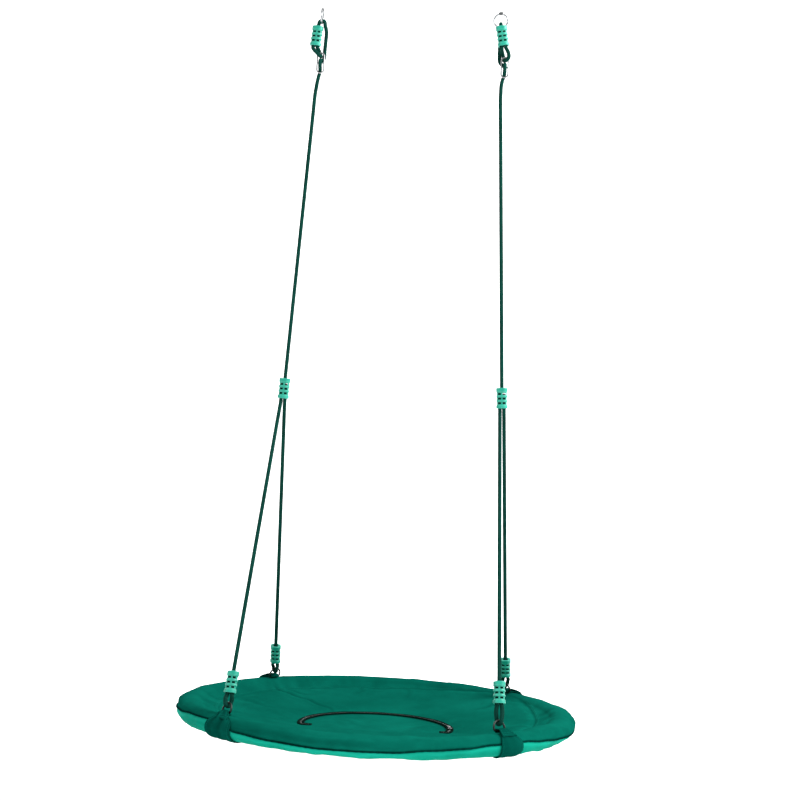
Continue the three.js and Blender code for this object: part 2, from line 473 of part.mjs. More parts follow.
// ---------------------------------------------------------------- curved zip
const zipZ = -34.6;
const arc = (from, to, n, f) => { const out = []; for (let i = 0; i <= n; i++) { const t = (from + (to - from) * i / n) * RAD; out.push(f(t)); } return out; };
{
  const line = []; // centreline [x, y, outward x, outward y]: turned-in end, arc, turned-in end
  const hook = (from, sgn, tail) => {
    const cx = (ZIP_R - ZIP_HOOK) * Math.cos(from * RAD), cy = (ZIP_R - ZIP_HOOK) * Math.sin(from * RAD), out = [];
    for (const d of [15, 35, 55, 75]) {
      const t = (from + sgn * d) * RAD;
      out.push([cx + ZIP_HOOK * Math.cos(t), cy + ZIP_HOOK * Math.sin(t), Math.cos(t), Math.sin(t)]);
    }
    const [x, y, nx, ny] = out[3];
    out.push([x - sgn * tail * ny, y + sgn * tail * nx, nx, ny]);
    return out;
  };
  line.push(...hook(ZIP_FROM, -1, 8).reverse());
  line.push(...arc(ZIP_FROM, ZIP_TO, 18, (t) => [ZIP_R * Math.cos(t), ZIP_R * Math.sin(t), Math.cos(t), Math.sin(t)]));
  line.push(...hook(ZIP_TO, 1, 14));
  add("zip_tape", loft(line.map(([x, y, nx, ny]) => [[-6, 1], [6, 1], [6, 1.8], [2, 1.8], [2, 3.2], [-2, 3.2], [-2, 1.8], [-6, 1.8]]
    .map(([r, z]) => V(x + nx * r, y + ny * r, RIM_Z + zipZ + z)))), ZIP);
}
{
  const a0 = 4;
  const prof = [[-5.6, 2.5], [-3.6, 2.5], [-3.6, 3.8], [3.6, 3.8], [3.6, 2.5], [5.6, 2.5], [5.6, 5.4], [-5.6, 5.4]];
  const rows = arc(a0 - 2.3, a0 + 2.3, 2, (t) => prof.map(([r, z]) => rimPoint(t, ZIP_R + r, zipZ + z)));
  // section is a channel, so its end caps are cut by an ear-clipping triangulation
  const g = loft(rows);
  const idx = Array.from(g.index.array), n = prof.length, tri = THREE.ShapeUtils.triangulateShape(prof.map(([x, y]) => new THREE.Vector2(x, y)), []);
  const side = idx.slice(0, 2 * n * 6), e = 2 * n;
  const p = g.getAttribute("position"), P = (i) => V(p.getX(i), p.getY(i), p.getZ(i));
  const centre = rimPoint(a0 * RAD, ZIP_R, zipZ + 3.5);
  const caps = [];
  for (const [base, sgn] of [[0, -1], [e, 1]]) for (const [i, j, k] of tri) {
    const nrm = P(base + j).sub(P(base + i)).cross(P(base + k).sub(P(base + i)));
    const out = P(base + i).sub(centre);
    const dirn = V(-Math.sin(a0 * RAD), Math.cos(a0 * RAD), 0).multiplyScalar(sgn);
    if (nrm.dot(dirn) > 0) caps.push(base + i, base + j, base + k); else caps.push(base + i, base + k, base + j);
  }
  g.setIndex([...side, ...caps]);
  add("zip_slider", g, ZINC);
  // pull tab: lies back along the zip, hinged at the slider's front edge
  const t1 = (a0 + 2.6) * RAD, t2 = (a0 + 11.5) * RAD;
  const tab = (t, h, w, z) => [[-w, z - h], [w, z - h], [w, z + h], [-w, z + h]].map(([r, q]) => rimPoint(t, ZIP_R + r, zipZ + q + 0.4));
  add("zip_pull", loft([tab(t1, 0.8, 2.4, 4.6), tab(t1 + 0.035, 0.7, 3.4, 4.4), tab(t2 - 0.03, 0.7, 3.6, 4.1), tab(t2, 0.6, 2.2, 4.1)]), ZINC);
}

export default root;
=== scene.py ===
import math

import bmesh
import bpy
import numpy as np
from mathutils import Matrix, Vector, noise


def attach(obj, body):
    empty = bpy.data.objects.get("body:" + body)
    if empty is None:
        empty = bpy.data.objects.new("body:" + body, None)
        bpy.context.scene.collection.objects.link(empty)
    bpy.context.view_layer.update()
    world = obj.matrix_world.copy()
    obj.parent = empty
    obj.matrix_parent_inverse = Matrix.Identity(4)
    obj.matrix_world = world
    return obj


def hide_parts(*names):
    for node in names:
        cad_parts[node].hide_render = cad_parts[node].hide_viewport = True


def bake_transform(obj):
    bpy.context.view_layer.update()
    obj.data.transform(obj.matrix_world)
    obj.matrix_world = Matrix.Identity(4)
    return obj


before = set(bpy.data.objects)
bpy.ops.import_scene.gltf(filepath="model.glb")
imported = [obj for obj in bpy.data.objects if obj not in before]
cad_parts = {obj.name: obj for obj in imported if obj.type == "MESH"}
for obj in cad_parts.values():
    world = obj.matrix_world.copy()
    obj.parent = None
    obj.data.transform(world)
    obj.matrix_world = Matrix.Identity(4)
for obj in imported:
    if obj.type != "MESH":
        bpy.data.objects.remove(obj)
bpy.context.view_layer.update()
RAD = math.pi / 180
A = np.array

# ------------------------------------------------------------------ dimensions, in mm, as in the part
HANG_X, RING_R, RING_WIRE, ROPE_R = 231.0, 17.5, 2.5, 5.0
LINK_HALF, LINK_Z, LINK_WIRE = 9.0, (-118.5, -152.5), 2.0
CLAMP_L, CLAMP_W, CLAMP_D, STRAND, DEAD_END = 52.0, 14.5, 9.8, 5.2, 38.0
MID_TOP, MID_BOT = A([277.6, 0, -955.5]), A([280.3, 0, -1007.4])
RIM_R, RIM_Z, RIM_A, RIM_B = 465.0, -1788.0, 33.0, 25.0
STRAP_T, DEE_HALF, DEE_LEG, DEE_WIRE = 2.4, 16.3, 6.0, 2.3
ZIP_R, ZIP_FROM, ZIP_TO, ZIP_HOOK, ZIP_Z = 188.0, -8.0, 192.0, 16.0, -34.6
LOOP = {"FR": 47.0, "FL": 31.0, "BL": 29.0, "BR": 31.0}
DEE_PHI = 112
CORNERS = {"FL": (-1, -1), "FR": (1, -1), "BL": (-1, 1), "BR": (1, 1)}


def unit(v):
    v = A(v, float)
    return v / np.linalg.norm(v)


# ------------------------------------------------------------------ material helpers
def srgb(r, g, b):
    out = []
    for c in (r, g, b):
        c /= 255.0
        out.append(c / 12.92 if c <= 0.04045 else ((c + 0.055) / 1.055) ** 2.4)
    return (*out, 1.0)


class Mat:
    """A material made of nodes: a Principled shader and short calls that add nodes in front of it."""

    def __init__(self, name):
        self.m = bpy.data.materials.new(name)
        self.m.use_nodes = True
        self.t = self.m.node_tree
        self.t.nodes.clear()
        out = self.t.nodes.new("ShaderNodeOutputMaterial")
        self.b = self.t.nodes.new("ShaderNodeBsdfPrincipled")
        self.t.links.new(self.b.outputs[0], out.inputs[0])

    def node(self, kind, **props):
        n = self.t.nodes.new("ShaderNode" + kind)
        ins = props.pop("ins", {})
        for k, v in props.items():
            setattr(n, k, v)
        for k, v in ins.items():
            self.put(n.inputs[k], v)
        return n

    def put(self, socket, v):
        if isinstance(v, bpy.types.NodeSocket):
            self.t.links.new(v, socket)
        else:
            socket.default_value = v

    def set(self, **vals):
        for k, v in vals.items():
            self.put(self.b.inputs[k.replace("_", " ")], v)
        return self

    def coords(self, kind="Object"):
        return self.node("TexCoord").outputs[kind]

    def scaled(self, vec, s):
        return self.node("Mapping", ins={0: vec, 3: s if hasattr(s, "__len__") else (s, s, s)}).outputs[0]

    def noise(self, vec, scale, detail=3.0, rough=0.55, dist=0.0):
        return self.node("TexNoise", ins={"Vector": vec, "Scale": scale, "Detail": detail, "Roughness": rough, "Distortion": dist}).outputs[0]

    def wave(self, vec, scale, direction="X", dist=0.0, profile="SIN"):
        return self.node("TexWave", wave_type="BANDS", bands_direction=direction, wave_profile=profile,
                         ins={"Vector": vec, "Scale": scale, "Distortion": dist}).outputs[1]

    def voronoi(self, vec, scale):
        return self.node("TexVoronoi", ins={"Vector": vec, "Scale": scale}).outputs[0]

    def math(self, op, a, b=0.0, clamp=False):
        return self.node("Math", operation=op, use_clamp=clamp, ins={0: a, 1: b}).outputs[0]

    def ramp(self, fac, lo, hi, a=0.0, b=1.0):
        """fac from lo..hi mapped to a..b."""
        return self.node("MapRange", ins={0: fac, 1: lo, 2: hi, 3: a, 4: b}).outputs[0]

    def mix(self, fac, a, b, blend="MIX"):
        n = self.node("Mix", data_type="RGBA", blend_type=blend)
        self.put(n.inputs[0], fac)
        self.put(n.inputs[6], a)
        self.put(n.inputs[7], b)
        return n.outputs[2]

    def attr(self, name):
        return self.node("Attribute", attribute_name=name).outputs[2]

    def bump(self, height, strength=0.4, distance=0.001, normal=None):
        n = self.node("Bump", ins={"Strength": strength, "Distance": distance, "Height": height})
        if normal is not None:
            self.t.links.new(normal, n.inputs["Normal"])
        return n.outputs[0]


def fabric(name, col, dark, light, pitch=0.8, rough=0.88, sheen=0.002, weave=0.35, spec=0.0):
    """Woven polyester: plain weave by UV in metres, cloudy colour, heathered yarn, painted highlights on folds and
    painted shade in creases and hollows.
    """
    k = Mat(name)
    uv, ob = k.coords("UV"), k.coords("Object")
    cloud = k.noise(ob, 7.0, 4.0, 0.6)
    fleck = k.noise(k.scaled(uv, (900, 160, 1)), 1.0, 2.0, 0.6)
    fleck2 = k.noise(k.scaled(uv, (160, 900, 1)), 1.0, 2.0, 0.6)
    yarn = k.math("ADD", k.math("MULTIPLY", fleck, 0.5), k.math("MULTIPLY", fleck2, 0.5))
    base = k.mix(k.ramp(cloud, 0.35, 0.68), dark, light)
    base = k.mix(0.55, base, col)
    base = k.mix(k.ramp(yarn, 0.38, 0.62, 0.0, 0.30), base, k.mix(0.5, base, dark))
    shade = k.attr("shade")  # painted shade below 0 (creases, hollows, sides turned from the light), painted highlight above 0 (lit folds)
    base = k.mix(k.ramp(shade, -1.0, 0.0, 0.75, 0.0), base, dark)
    base = k.mix(k.ramp(shade, 0.0, 1.0, 0.0, 0.6), base, light)
    wx = k.wave(k.scaled(uv, (1000 / pitch, 1000 / pitch, 1)), 0.31416, "X")
    wy = k.wave(k.scaled(uv, (1000 / pitch, 1000 / pitch, 1)), 0.31416, "Y")
    cloth = k.math("MULTIPLY", wx, wy)
    h = k.math("ADD", cloth, k.math("MULTIPLY", yarn, 0.8))
    soft = k.bump(k.noise(ob, 60.0, 3.0, 0.5), 0.25, 0.0012)
    k.set(Base_Color=base, Roughness=k.ramp(cloud, 0.3, 0.7, rough - 0.06, rough + 0.08), Normal=k.bump(h, weave, 0.0003, soft))
    k.b.inputs["Sheen Weight"].default_value = sheen
    k.b.inputs["Sheen Roughness"].default_value = 0.45
    k.b.inputs["Specular IOR Level"].default_value = spec
    return k.m


def rope_material():
    k = Mat("rope_braid")
    uv = k.coords("UV")
    lie = k.attr("strand")  # 0 between the strands, 1 on top of one
    tone = k.noise(k.coords("Object"), 22.0, 3.0, 0.55)
    yarn = k.wave(k.scaled(uv, (60, 1400, 1)), 0.6, "DIAGONAL", 1.2)
    base = k.mix(k.ramp(tone, 0.35, 0.65), srgb(4, 54, 45), srgb(12, 74, 63))
    # painted shade: darker in the valleys between the strands
    base = k.mix(k.ramp(lie, 0.0, 0.75, 0.85, 0.0), base, srgb(2, 36, 29))
    base = k.mix(k.ramp(yarn, 0.3, 1.0, 0.0, 0.25), base, srgb(46, 118, 104))
    fuzz = k.noise(k.scaled(uv, (40, 900, 1)), 1.0, 3.0, 0.6)
    k.set(Base_Color=base, Roughness=k.ramp(lie, 0.0, 1.0, 0.9, 0.68), Normal=k.bump(k.math("ADD", yarn, fuzz), 0.5, 0.0003))
    k.b.inputs["Sheen Weight"].default_value = 0.006
    k.b.inputs["Specular IOR Level"].default_value = 0.04
    return k.m


def plastic_material():
    k = Mat("clamp_plastic")
    ob = k.coords("Object")
    mould = k.noise(ob, 900.0, 2.0, 0.5)
    scuff = k.noise(k.scaled(ob, (260, 260, 40)), 1.0, 4.0, 0.7)
    edge = k.node("NewGeometry").outputs["Pointiness"]
    base = k.mix(k.ramp(k.noise(ob, 60.0, 2.0), 0.35, 0.65), srgb(12, 168, 140), srgb(26, 184, 156))
    base = k.mix(k.ramp(edge, 0.505, 0.56, 0.0, 0.55), base, srgb(120, 226, 204))
    # painted shade: a darker green in the hollows and window corners, where pointiness is low
    base = k.mix(k.ramp(edge, 0.47, 0.495, 0.55, 0.0), base, srgb(10, 128, 104))
    base = k.mix(k.ramp(scuff, 0.62, 0.8, 0.0, 0.25), base, srgb(120, 225, 205))
    k.set(Base_Color=base, Roughness=k.ramp(scuff, 0.3, 0.75, 0.28, 0.5), Normal=k.bump(mould, 0.12, 0.0002))
    k.b.inputs["Specular IOR Level"].default_value = 0.5
    k.b.inputs["Coat Weight"].default_value = 0.15
    k.b.inputs["Coat Roughness"].default_value = 0.2
    return k.m


def metal(name, col, col2, lo=0.2, hi=0.4, scratch=0.15, grain=(400, 400, 400)):
    k = Mat(name)
    ob = k.coords("Object")
    cloud = k.noise(ob, 120.0, 4.0, 0.6)
    fine = k.noise(k.scaled(ob, grain), 1.0, 3.0, 0.6)
    base = k.mix(k.ramp(cloud, 0.35, 0.7), col, col2)
    base = k.mix(k.ramp(k.noise(ob, 420.0, 2.0), 0.62, 0.75, 0.0, 0.5), base, srgb(96, 98, 99))
    k.set(Base_Color=base, Roughness=k.ramp(fine, 0.3, 0.7, lo, hi), Normal=k.bump(fine, scratch, 0.0002))
    k.b.inputs["Metallic"].default_value = 1.0
    return k.m


def foam_material():
    k = Mat("foam_cells")
    ob = k.coords("Object")
    cells = k.voronoi(ob, 900.0)
    base = k.mix(k.ramp(k.noise(ob, 40.0, 3.0), 0.3, 0.7), srgb(88, 90, 94), srgb(112, 114, 117))
    # painted shade inside the pores
    base = k.mix(k.ramp(cells, 0.0, 0.5, 0.5, 0.0), base, srgb(48, 50, 52))
    k.set(Base_Color=base, Roughness=k.ramp(cells, 0.0, 0.6, 0.98, 0.85), Normal=k.bump(cells, 0.6, 0.0006))
    return k.m


COVER_D = fabric("cover_dark_cloth", srgb(6, 108, 91), srgb(2, 82, 69), srgb(12, 122, 104), 0.9)
COVER_B = fabric("cover_bright_cloth", srgb(8, 160, 134), srgb(3, 134, 110), srgb(30, 190, 162), 0.9, rough=0.75, spec=0.02)
PIPING = fabric("piping_cloth", srgb(0, 52, 45), srgb(0, 34, 30), srgb(6, 74, 64), 0.6)
STRAP = fabric("strap_cloth", srgb(2, 84, 71), srgb(0, 52, 44), srgb(8, 100, 86), 1.1, weave=0.6)
ZIPTAPE = fabric("zip_tape_cloth", srgb(15, 40, 34), srgb(8, 26, 22), srgb(26, 58, 50), 0.5, weave=0.5)
THREAD = fabric("thread_cloth", srgb(14, 126, 108), srgb(8, 96, 82), srgb(34, 150, 130), 0.4)
ROPE = rope_material()
PLASTIC = plastic_material()
CHROME = metal("ring_chrome", srgb(214, 217, 219), srgb(186, 189, 192), 0.12, 0.3, 0.08)
ZINC = metal("link_zinc", srgb(206, 208, 210), srgb(170, 173, 176), 0.28, 0.46, 0.15, (700, 700, 60))
WELD = metal("weld_scale", srgb(128, 130, 131), srgb(96, 97, 98), 0.5, 0.75, 0.6)
TUBE = metal("tube_galvanised", srgb(176, 180, 182), srgb(140, 144, 147), 0.35, 0.6, 0.2)
ZIPMETAL = metal("zip_metal", srgb(70, 74, 74), srgb(44, 48, 48), 0.3, 0.5, 0.15)
COIL = metal("zip_coil", srgb(22, 44, 38), srgb(12, 28, 24), 0.35, 0.5, 0.1)
COIL.node_tree.nodes["Principled BSDF"].inputs["Metallic"].default_value = 0.0
FOAM = foam_material()
# dark grey metal for the D rings, darker than the other steel parts
DEEMETAL = metal("dee_dark_metal", srgb(70, 76, 74), srgb(40, 46, 44), 0.3, 0.5, 0.15)
PAD = fabric("pad_fleece", srgb(8, 78, 66), srgb(4, 58, 49), srgb(14, 92, 79), 1.4, weave=0.6)


# ------------------------------------------------------------------ mesh helpers
def finish_mesh(name, verts, faces, mat, uv=None, smooth=True, attrs=None, auto=None):
    me = bpy.data.meshes.new(name)
    me.from_pydata(A(verts, float).tolist(), [], [list(map(int, f)) for f in faces])
    if uv is not None:
        layer = me.uv_layers.new(name="UVMap")
        layer.data.foreach_set("uv", A(uv, np.float32).ravel())
    for k, v in (attrs or {}).items():
        at = me.attributes.new(k, "FLOAT", "POINT")
        at.data.foreach_set("value", A(v, np.float32).ravel())
    me.materials.append(mat)
    me.polygons.foreach_set("use_smooth", [smooth] * len(me.polygons))
    me.update()
    ob = bpy.data.objects.new(name, me)
    bpy.context.scene.collection.objects.link(ob)
    return ob


def grid(name, P, mat, UV=None, wrap0=False, wrap1=False, attrs=None, caps=False, flip=False, mask=None, scale=0.001):
    """P: rows x columns x 3, in mm. wrap0/wrap1 close the rows or columns. UV has one more row or column where it wraps."""
    n0, n1 = P.shape[:2]
    I, J = np.meshgrid(np.arange(n0 if wrap0 else n0 - 1), np.arange(n1 if wrap1 else n1 - 1), indexing="ij")
    idx = lambda a, b: (a % n0) * n1 + (b % n1)
    F = np.stack([idx(I, J), idx(I + 1, J), idx(I + 1, J + 1), idx(I, J + 1)], -1).reshape(-1, 4)
    if UV is None:
        U = None
    else:
        U = np.stack([UV[I, J], UV[I + 1, J], UV[I + 1, J + 1], UV[I, J + 1]], 2).reshape(-1, 4, 2)
    if mask is not None:
        keep = mask[I, J].ravel()
        F = F[keep]
        U = U[keep] if U is not None else None
    if flip:
        F = F[:, ::-1]
        U = U[:, ::-1] if U is not None else None
    faces = F.tolist()
    uv = U.reshape(-1, 2) if U is not None else None
    if caps:  # close both open rows of a tube
        a, b = list(range(n1)), [(n0 - 1) * n1 + j for j in range(n1)]
        first, last = (a[::-1], b) if flip else (a, b[::-1])
        faces += [first[::-1] if False else first, last]
        if uv is not None:
            uv = np.vstack([uv, np.zeros((2 * n1, 2))])
    return finish_mesh(name, P.reshape(-1, 3) * scale, faces, mat, uv, attrs=attrs)


def outward(ob):
    """Turns a closed mesh's faces to point out."""
    bm = bmesh.new()
    bm.from_mesh(ob.data)
    bmesh.ops.recalc_face_normals(bm, faces=bm.faces)
    bm.to_mesh(ob.data)
    bm.free()
    return ob


def join(name, obs):
    """Several objects as one mesh, with their material slots kept."""
    with bpy.context.temp_override(active_object=obs[0], selected_editable_objects=obs, selected_objects=obs):
        bpy.ops.object.join()
    obs[0].name = name
    return obs[0]


def apply_mods(ob):
    dg = bpy.context.evaluated_depsgraph_get()
    dg.update()
    me = bpy.data.meshes.new_from_object(ob.evaluated_get(dg), preserve_all_data_layers=True, depsgraph=dg)
    ob.modifiers.clear()
    old = ob.data
    ob.data = me
    bpy.data.meshes.remove(old)
    return ob


def resample(pts, step):
    d = np.r_[0, np.cumsum(np.linalg.norm(np.diff(pts, axis=0), axis=1))]
    n = max(2, int(round(d[-1] / step)) + 1)
    s = np.linspace(0, d[-1], n)
    return np.stack([np.interp(s, d, pts[:, i]) for i in range(3)], 1), d[-1]


def catmull(keys, step):
    """Centripetal spline through the keys, then points an even step apart."""
    K = A(keys, float)
    P = np.vstack([2 * K[0] - K[1], K, 2 * K[-1] - K[-2]])
    out = []
    for i in range(1, len(P) - 2):
        p0, p1, p2, p3 = P[i - 1:i + 3]
        gap = lambda a, b: max(np.linalg.norm(b - a) ** 0.5, 1e-4)
        t1 = gap(p0, p1)
        t2 = t1 + gap(p1, p2)
        t3 = t2 + gap(p2, p3)
        t = np.linspace(t1, t2, max(4, int(np.linalg.norm(p2 - p1) / 0.7)), endpoint=False)[:, None]
        a1 = (t1 - t) / t1 * p0 + t / t1 * p1
        a2 = (t2 - t) / (t2 - t1) * p1 + (t - t1) / (t2 - t1) * p2
        a3 = (t3 - t) / (t3 - t2) * p2 + (t - t2) / (t3 - t2) * p3
        b1 = (t2 - t) / t2 * a1 + t / t2 * a2
        b2 = (t3 - t) / (t3 - t1) * a2 + (t - t1) / (t3 - t1) * a3
        out.append((t2 - t) / (t2 - t1) * b1 + (t - t1) / (t2 - t1) * b2)
    out.append(K[-1:])
    return resample(np.vstack(out), step)[0]


def frames(pts, closed=False, start=None):
    """Tangents and a pair of normals that don't twist along the points."""
    if closed:
        T = np.roll(pts, -1, 0) - np.roll(pts, 1, 0)
    else:
        T = np.gradient(pts, axis=0)
    T /= np.linalg.norm(T, axis=1)[:, None]
    N = np.zeros_like(pts)
    v = A(start, float) if start is not None else (A([0.0, 1.0, 0.0]) if abs(T[0][1]) < 0.8 else A([1.0, 0.0, 0.0]))
    v = v - T[0] * (v @ T[0])
    N[0] = v / np.linalg.norm(v)
    for i in range(1, len(pts)):
        v = N[i - 1] - T[i] * (N[i - 1] @ T[i])
        N[i] = v / np.linalg.norm(v)
    if closed:  # spread the leftover twist
        v = N[-1] - T[0] * (N[-1] @ T[0])
        v /= np.linalg.norm(v)
        off = math.atan2(np.cross(v, N[0]) @ T[0], v @ N[0])
        B = np.cross(T, N)
        a = np.linspace(0, off, len(pts))[:, None]
        N = N * np.cos(a) + B * np.sin(a)
    return T, N, np.cross(T, N)


def braided(name, pts, r=ROPE_R, strands=8, lay=31.0, around=32, tail=True):
    """A braided rope along evenly spaced points: strands cross over and under each other, and the ends are melted round."""
    step = np.linalg.norm(pts[1] - pts[0])
    T, N, B = frames(pts)
    n = len(pts)
    s = np.arange(n) * step
    a = np.arange(around) * 2 * math.pi / around
    S, Q = np.meshgrid(s, a, indexing="ij")
    ph1, ph2 = strands * Q / 2 + math.pi * strands * S / (2 * lay) * 1.0, strands * Q / 2 - math.pi * strands * S / (2 * lay) * 1.0
    one, two = np.abs(np.cos(ph1)), np.abs(np.cos(ph2))
    over = 0.5 + 0.5 * np.sign(np.sin(ph1 + ph2 + 0.6)) * np.sign(np.sin(ph1 - ph2 + 0.6))
    h = np.maximum(one ** 0.8 * (0.62 + 0.38 * over), two ** 0.8 * (0.62 + 0.38 * (1 - over)))
    rad = r * (0.925 + 0.085 * h)
    if tail:
        for k in range(4):  # round ends
            f = (0.35, 0.68, 0.87, 0.97)[k]
            rad[k] *= f
            rad[-1 - k] *= f
    P = pts[:, None, :] + rad[..., None] * (np.cos(Q)[..., None] * N[:, None, :] + np.sin(Q)[..., None] * B[:, None, :])
    UV = np.stack(np.meshgrid(np.arange(n) * step * 0.001, np.arange(around + 1) / around * 0.0314, indexing="ij"), -1)
    ob = grid(name, P, ROPE, UV[..., ::-1], wrap1=True, attrs={"strand": (h - 0.35) / 0.65}, caps=True)
    return outward(ob)


def wire(name, pts, r, mat, sides=20, closed=True):
    T, N, B = frames(pts, closed)
    q = np.arange(sides) * 2 * math.pi / sides
    rr = r if hasattr(r, "__len__") else np.full(len(pts), r)
    P = pts[:, None, :] + rr[:, None, None] * (np.cos(q)[None, :, None] * N[:, None, :] + np.sin(q)[None, :, None] * B[:, None, :])
    return outward(grid(name, P, mat, wrap0=closed, wrap1=True, caps=not closed))


def nz(x, y, z, seed=0.0):
    return noise.noise(Vector((x + seed * 17.3, y - seed * 9.1, z + seed * 5.7)))


# ------------------------------------------------------------------ rope clamps
def clamp_frame(bottom, top):
    a = unit(A(top, float) - A(bottom, float))
    w = unit(A([1.0, 0, 0]) - a * a[0])
    d = np.cross(a, w)
    at = lambda x, h: A(bottom, float) + x * w + h * a
    through = [at(-STRAND, 0), at(-STRAND, 18), at(-STRAND, 35), at(-4.2, 39.5), at(-1.3, 45.5), at(0, 50), at(0, CLAMP_L)]
    dead = [at(STRAND, DEAD_END), at(STRAND, 18), at(STRAND, 0)]
    return dict(a=a, w=w, d=d, at=at, through=through, dead=dead, bottom=A(bottom, float))


HOLES_X = ((-10.5, -1.9), (1.9, 10.5))
HOLES_Z = ((10.5, 15.9), (22.1, 27.5), (33.7, 39.1))


def clamp_shell():
    """One half of a clamp: collars at both ends, a ribbed and windowed middle, and the bore for the strands."""
    xs = [14.5, 14.3, 13.7, 12.8, 11.9, 11.2, 10.5, 9.0, 7.6, 6.1, 4.6, 3.2, 1.9, 1.2, 0.6]
    X = A(xs + [0.0] + [-x for x in xs[::-1]])
    c, R = CLAMP_W - CLAMP_D, CLAMP_D
    ax = np.abs(X)
    Y = np.where(ax <= c, R, np.sqrt(np.maximum(R * R - np.maximum(ax - c, 0) ** 2, 0)))
    nrm = np.stack([np.where(ax <= c, 0, np.sign(X) * (ax - c) / R), np.where(ax <= c, 1, Y / R)], 1)
    Z = A([0, 0.5, 1.2, 2.5, 5, 7.6, 8.6, 9.3, 10.5, 12.2, 14.2, 15.9, 16.7, 17.6, 19, 20.4, 21.3, 22.1, 23.8, 25.8, 27.5, 28.3, 29.2, 30.6, 32,
           32.9, 33.7, 35.4, 37.4, 39.1, 40.2, 41.1, 42.2, 44.5, 47.5, 49.5, 50.8, 51.5, 52.0])
    def inset(z):
        if z < 9.3:
            return max(0.0, 0.7 - z * 0.9) if z < 1.2 else (0.0 if z < 7.7 else (z - 7.6) / 1.7 * 1.5)
        if z > 40.2:
            t = 52 - z
            return max(0.0, 0.7 - t * 0.9) if t < 1.2 else (0.0 if z > 42 else (42.1 - z) / 1.9 * 1.5)
        for lo, hi in ((16.7, 21.3), (28.3, 32.9)):
            if lo - 0.1 <= z <= hi + 0.1:
                m = (lo + hi) / 2
                return 0.15 + 0.5 * (abs(z - m) / (hi - lo) * 2) ** 2
        return 1.9
    off = A([inset(z) for z in Z])
    nu, nv = len(X), len(Z)
    side = np.clip((ax - 4.7) / 6.0, 0, 1) * 0.45 + 0.55   # the ribs stand out most at the sides
    O = np.zeros((nu, nv, 3))
    for j in range(nv):
        o = off[j] * side
        O[:, j, 0] = X - nrm[:, 0] * o
        O[:, j, 1] = Y - nrm[:, 1] * o
        O[:, j, 2] = Z[j]
    O[..., 1] = np.maximum(O[..., 1], 0) + 0.15
    a0, b0 = STRAND + ROPE_R + 0.6, ROPE_R + 0.6
    I = np.zeros((nu, nv, 3))
    for j, z in enumerate(Z):
        t = min(max((z - 37) / 12, 0), 1)
        a = a0 + (b0 + 1.6 - a0) * t
        flare = 0.5 * max(0, 1 - min(z, 52 - z) / 1.2)
        xi = np.interp(ax, [0, 1.9, 10.5, 14.5], [0, 1.9, 9.9, 10.8]) * (a / a0)
        cc = a - b0
        yi = np.where(xi <= cc, b0, np.sqrt(np.maximum(b0 * b0 - np.maximum(xi - cc, 0) ** 2, 0)))
        I[:, j, 0] = np.sign(X) * (xi + (flare if True else 0) * (xi / a))
        I[:, j, 1] = yi + 0.15 + flare * (yi / b0)
        I[:, j, 2] = z
    verts = np.vstack([O.reshape(-1, 3), I.reshape(-1, 3)])
    n = nu * nv
    o_, i_ = (lambda u, v: u * nv + v), (lambda u, v: n + u * nv + v)
    hole = np.zeros((nu - 1, nv - 1), bool)
    for u in range(nu - 1):
        mx = (X[u] + X[u + 1]) / 2
        for v in range(nv - 1):
            mz = (Z[v] + Z[v + 1]) / 2
            hole[u, v] = any(a < mx < b for a, b in HOLES_X) and any(a < mz < b for a, b in HOLES_Z)
    F = []
    for u in range(nu - 1):
        for v in range(nv - 1):
            if hole[u, v]:
                for (du, dv, e0, e1) in ((-1, 0, (u, v), (u, v + 1)), (1, 0, (u + 1, v + 1), (u + 1, v)), (0, -1, (u + 1, v), (u, v)), (0, 1, (u, v + 1), (u + 1, v + 1))):
                    if not hole[u + du, v + dv]:
                        F.append((o_(*e0), o_(*e1), i_(*e1), i_(*e0)))
            else:
                F.append((o_(u, v), o_(u, v + 1), o_(u + 1, v + 1), o_(u + 1, v)))
                F.append((i_(u, v), i_(u + 1, v), i_(u + 1, v + 1), i_(u, v + 1)))
    for u in range(nu - 1):
        F.append((o_(u, 0), o_(u + 1, 0), i_(u + 1, 0), i_(u, 0)))
        F.append((o_(u + 1, nv - 1), o_(u, nv - 1), i_(u, nv - 1), i_(u + 1, nv - 1)))
    for v in range(nv - 1):
        F.append((o_(0, v + 1), o_(0, v), i_(0, v), i_(0, v + 1)))
        F.append((o_(nu - 1, v), o_(nu - 1, v + 1), i_(nu - 1, v + 1), i_(nu - 1, v)))
    ob = finish_mesh("clamp_shell_source", verts * 0.001, F, PLASTIC)
    outward(ob)
    bev = ob.modifiers.new("bevel", "BEVEL")
    bev.width, bev.segments, bev.limit_method, bev.angle_limit = 0.00042, 2, "ANGLE", 38 * RAD
    bev.use_clamp_overlap = True
    apply_mods(ob)
    ob.data.polygons.foreach_set("use_smooth", [True] * len(ob.data.polygons))
    me = ob.data
    bpy.data.objects.remove(ob)
    return me


SHELL = clamp_shell()


def place_clamp(node, fr, body):
    for half, turn in (("front", math.pi), ("back", 0.0)):
        ob = bpy.data.objects.new(f"{node}_{half}_shell", SHELL.copy())
        bpy.context.scene.collection.objects.link(ob)
        M = Matrix(((fr["w"][0], fr["d"][0], fr["a"][0], 0), (fr["w"][1], fr["d"][1], fr["a"][1], 0), (fr["w"][2], fr["d"][2], fr["a"][2], 0), (0, 0, 0, 1)))
        ob.data.transform(M @ Matrix.Rotation(turn, 4, "Z"))
        ob.matrix_world = Matrix.Translation(Vector(fr["bottom"] * 0.001))
        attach(ob, body)
        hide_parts(f"{node}_{half}")


# ------------------------------------------------------------------ ropes
main_x = lambda z: 237.2 + 0.051 * (-z - 175)


def mid_axis(side):
    return unit([side * (MID_TOP[0] - MID_BOT[0]), 0, MID_TOP[2] - MID_BOT[2]])


def rim_point(az, r, z):
    return A([r * math.cos(az), r * math.sin(az), RIM_Z + z])


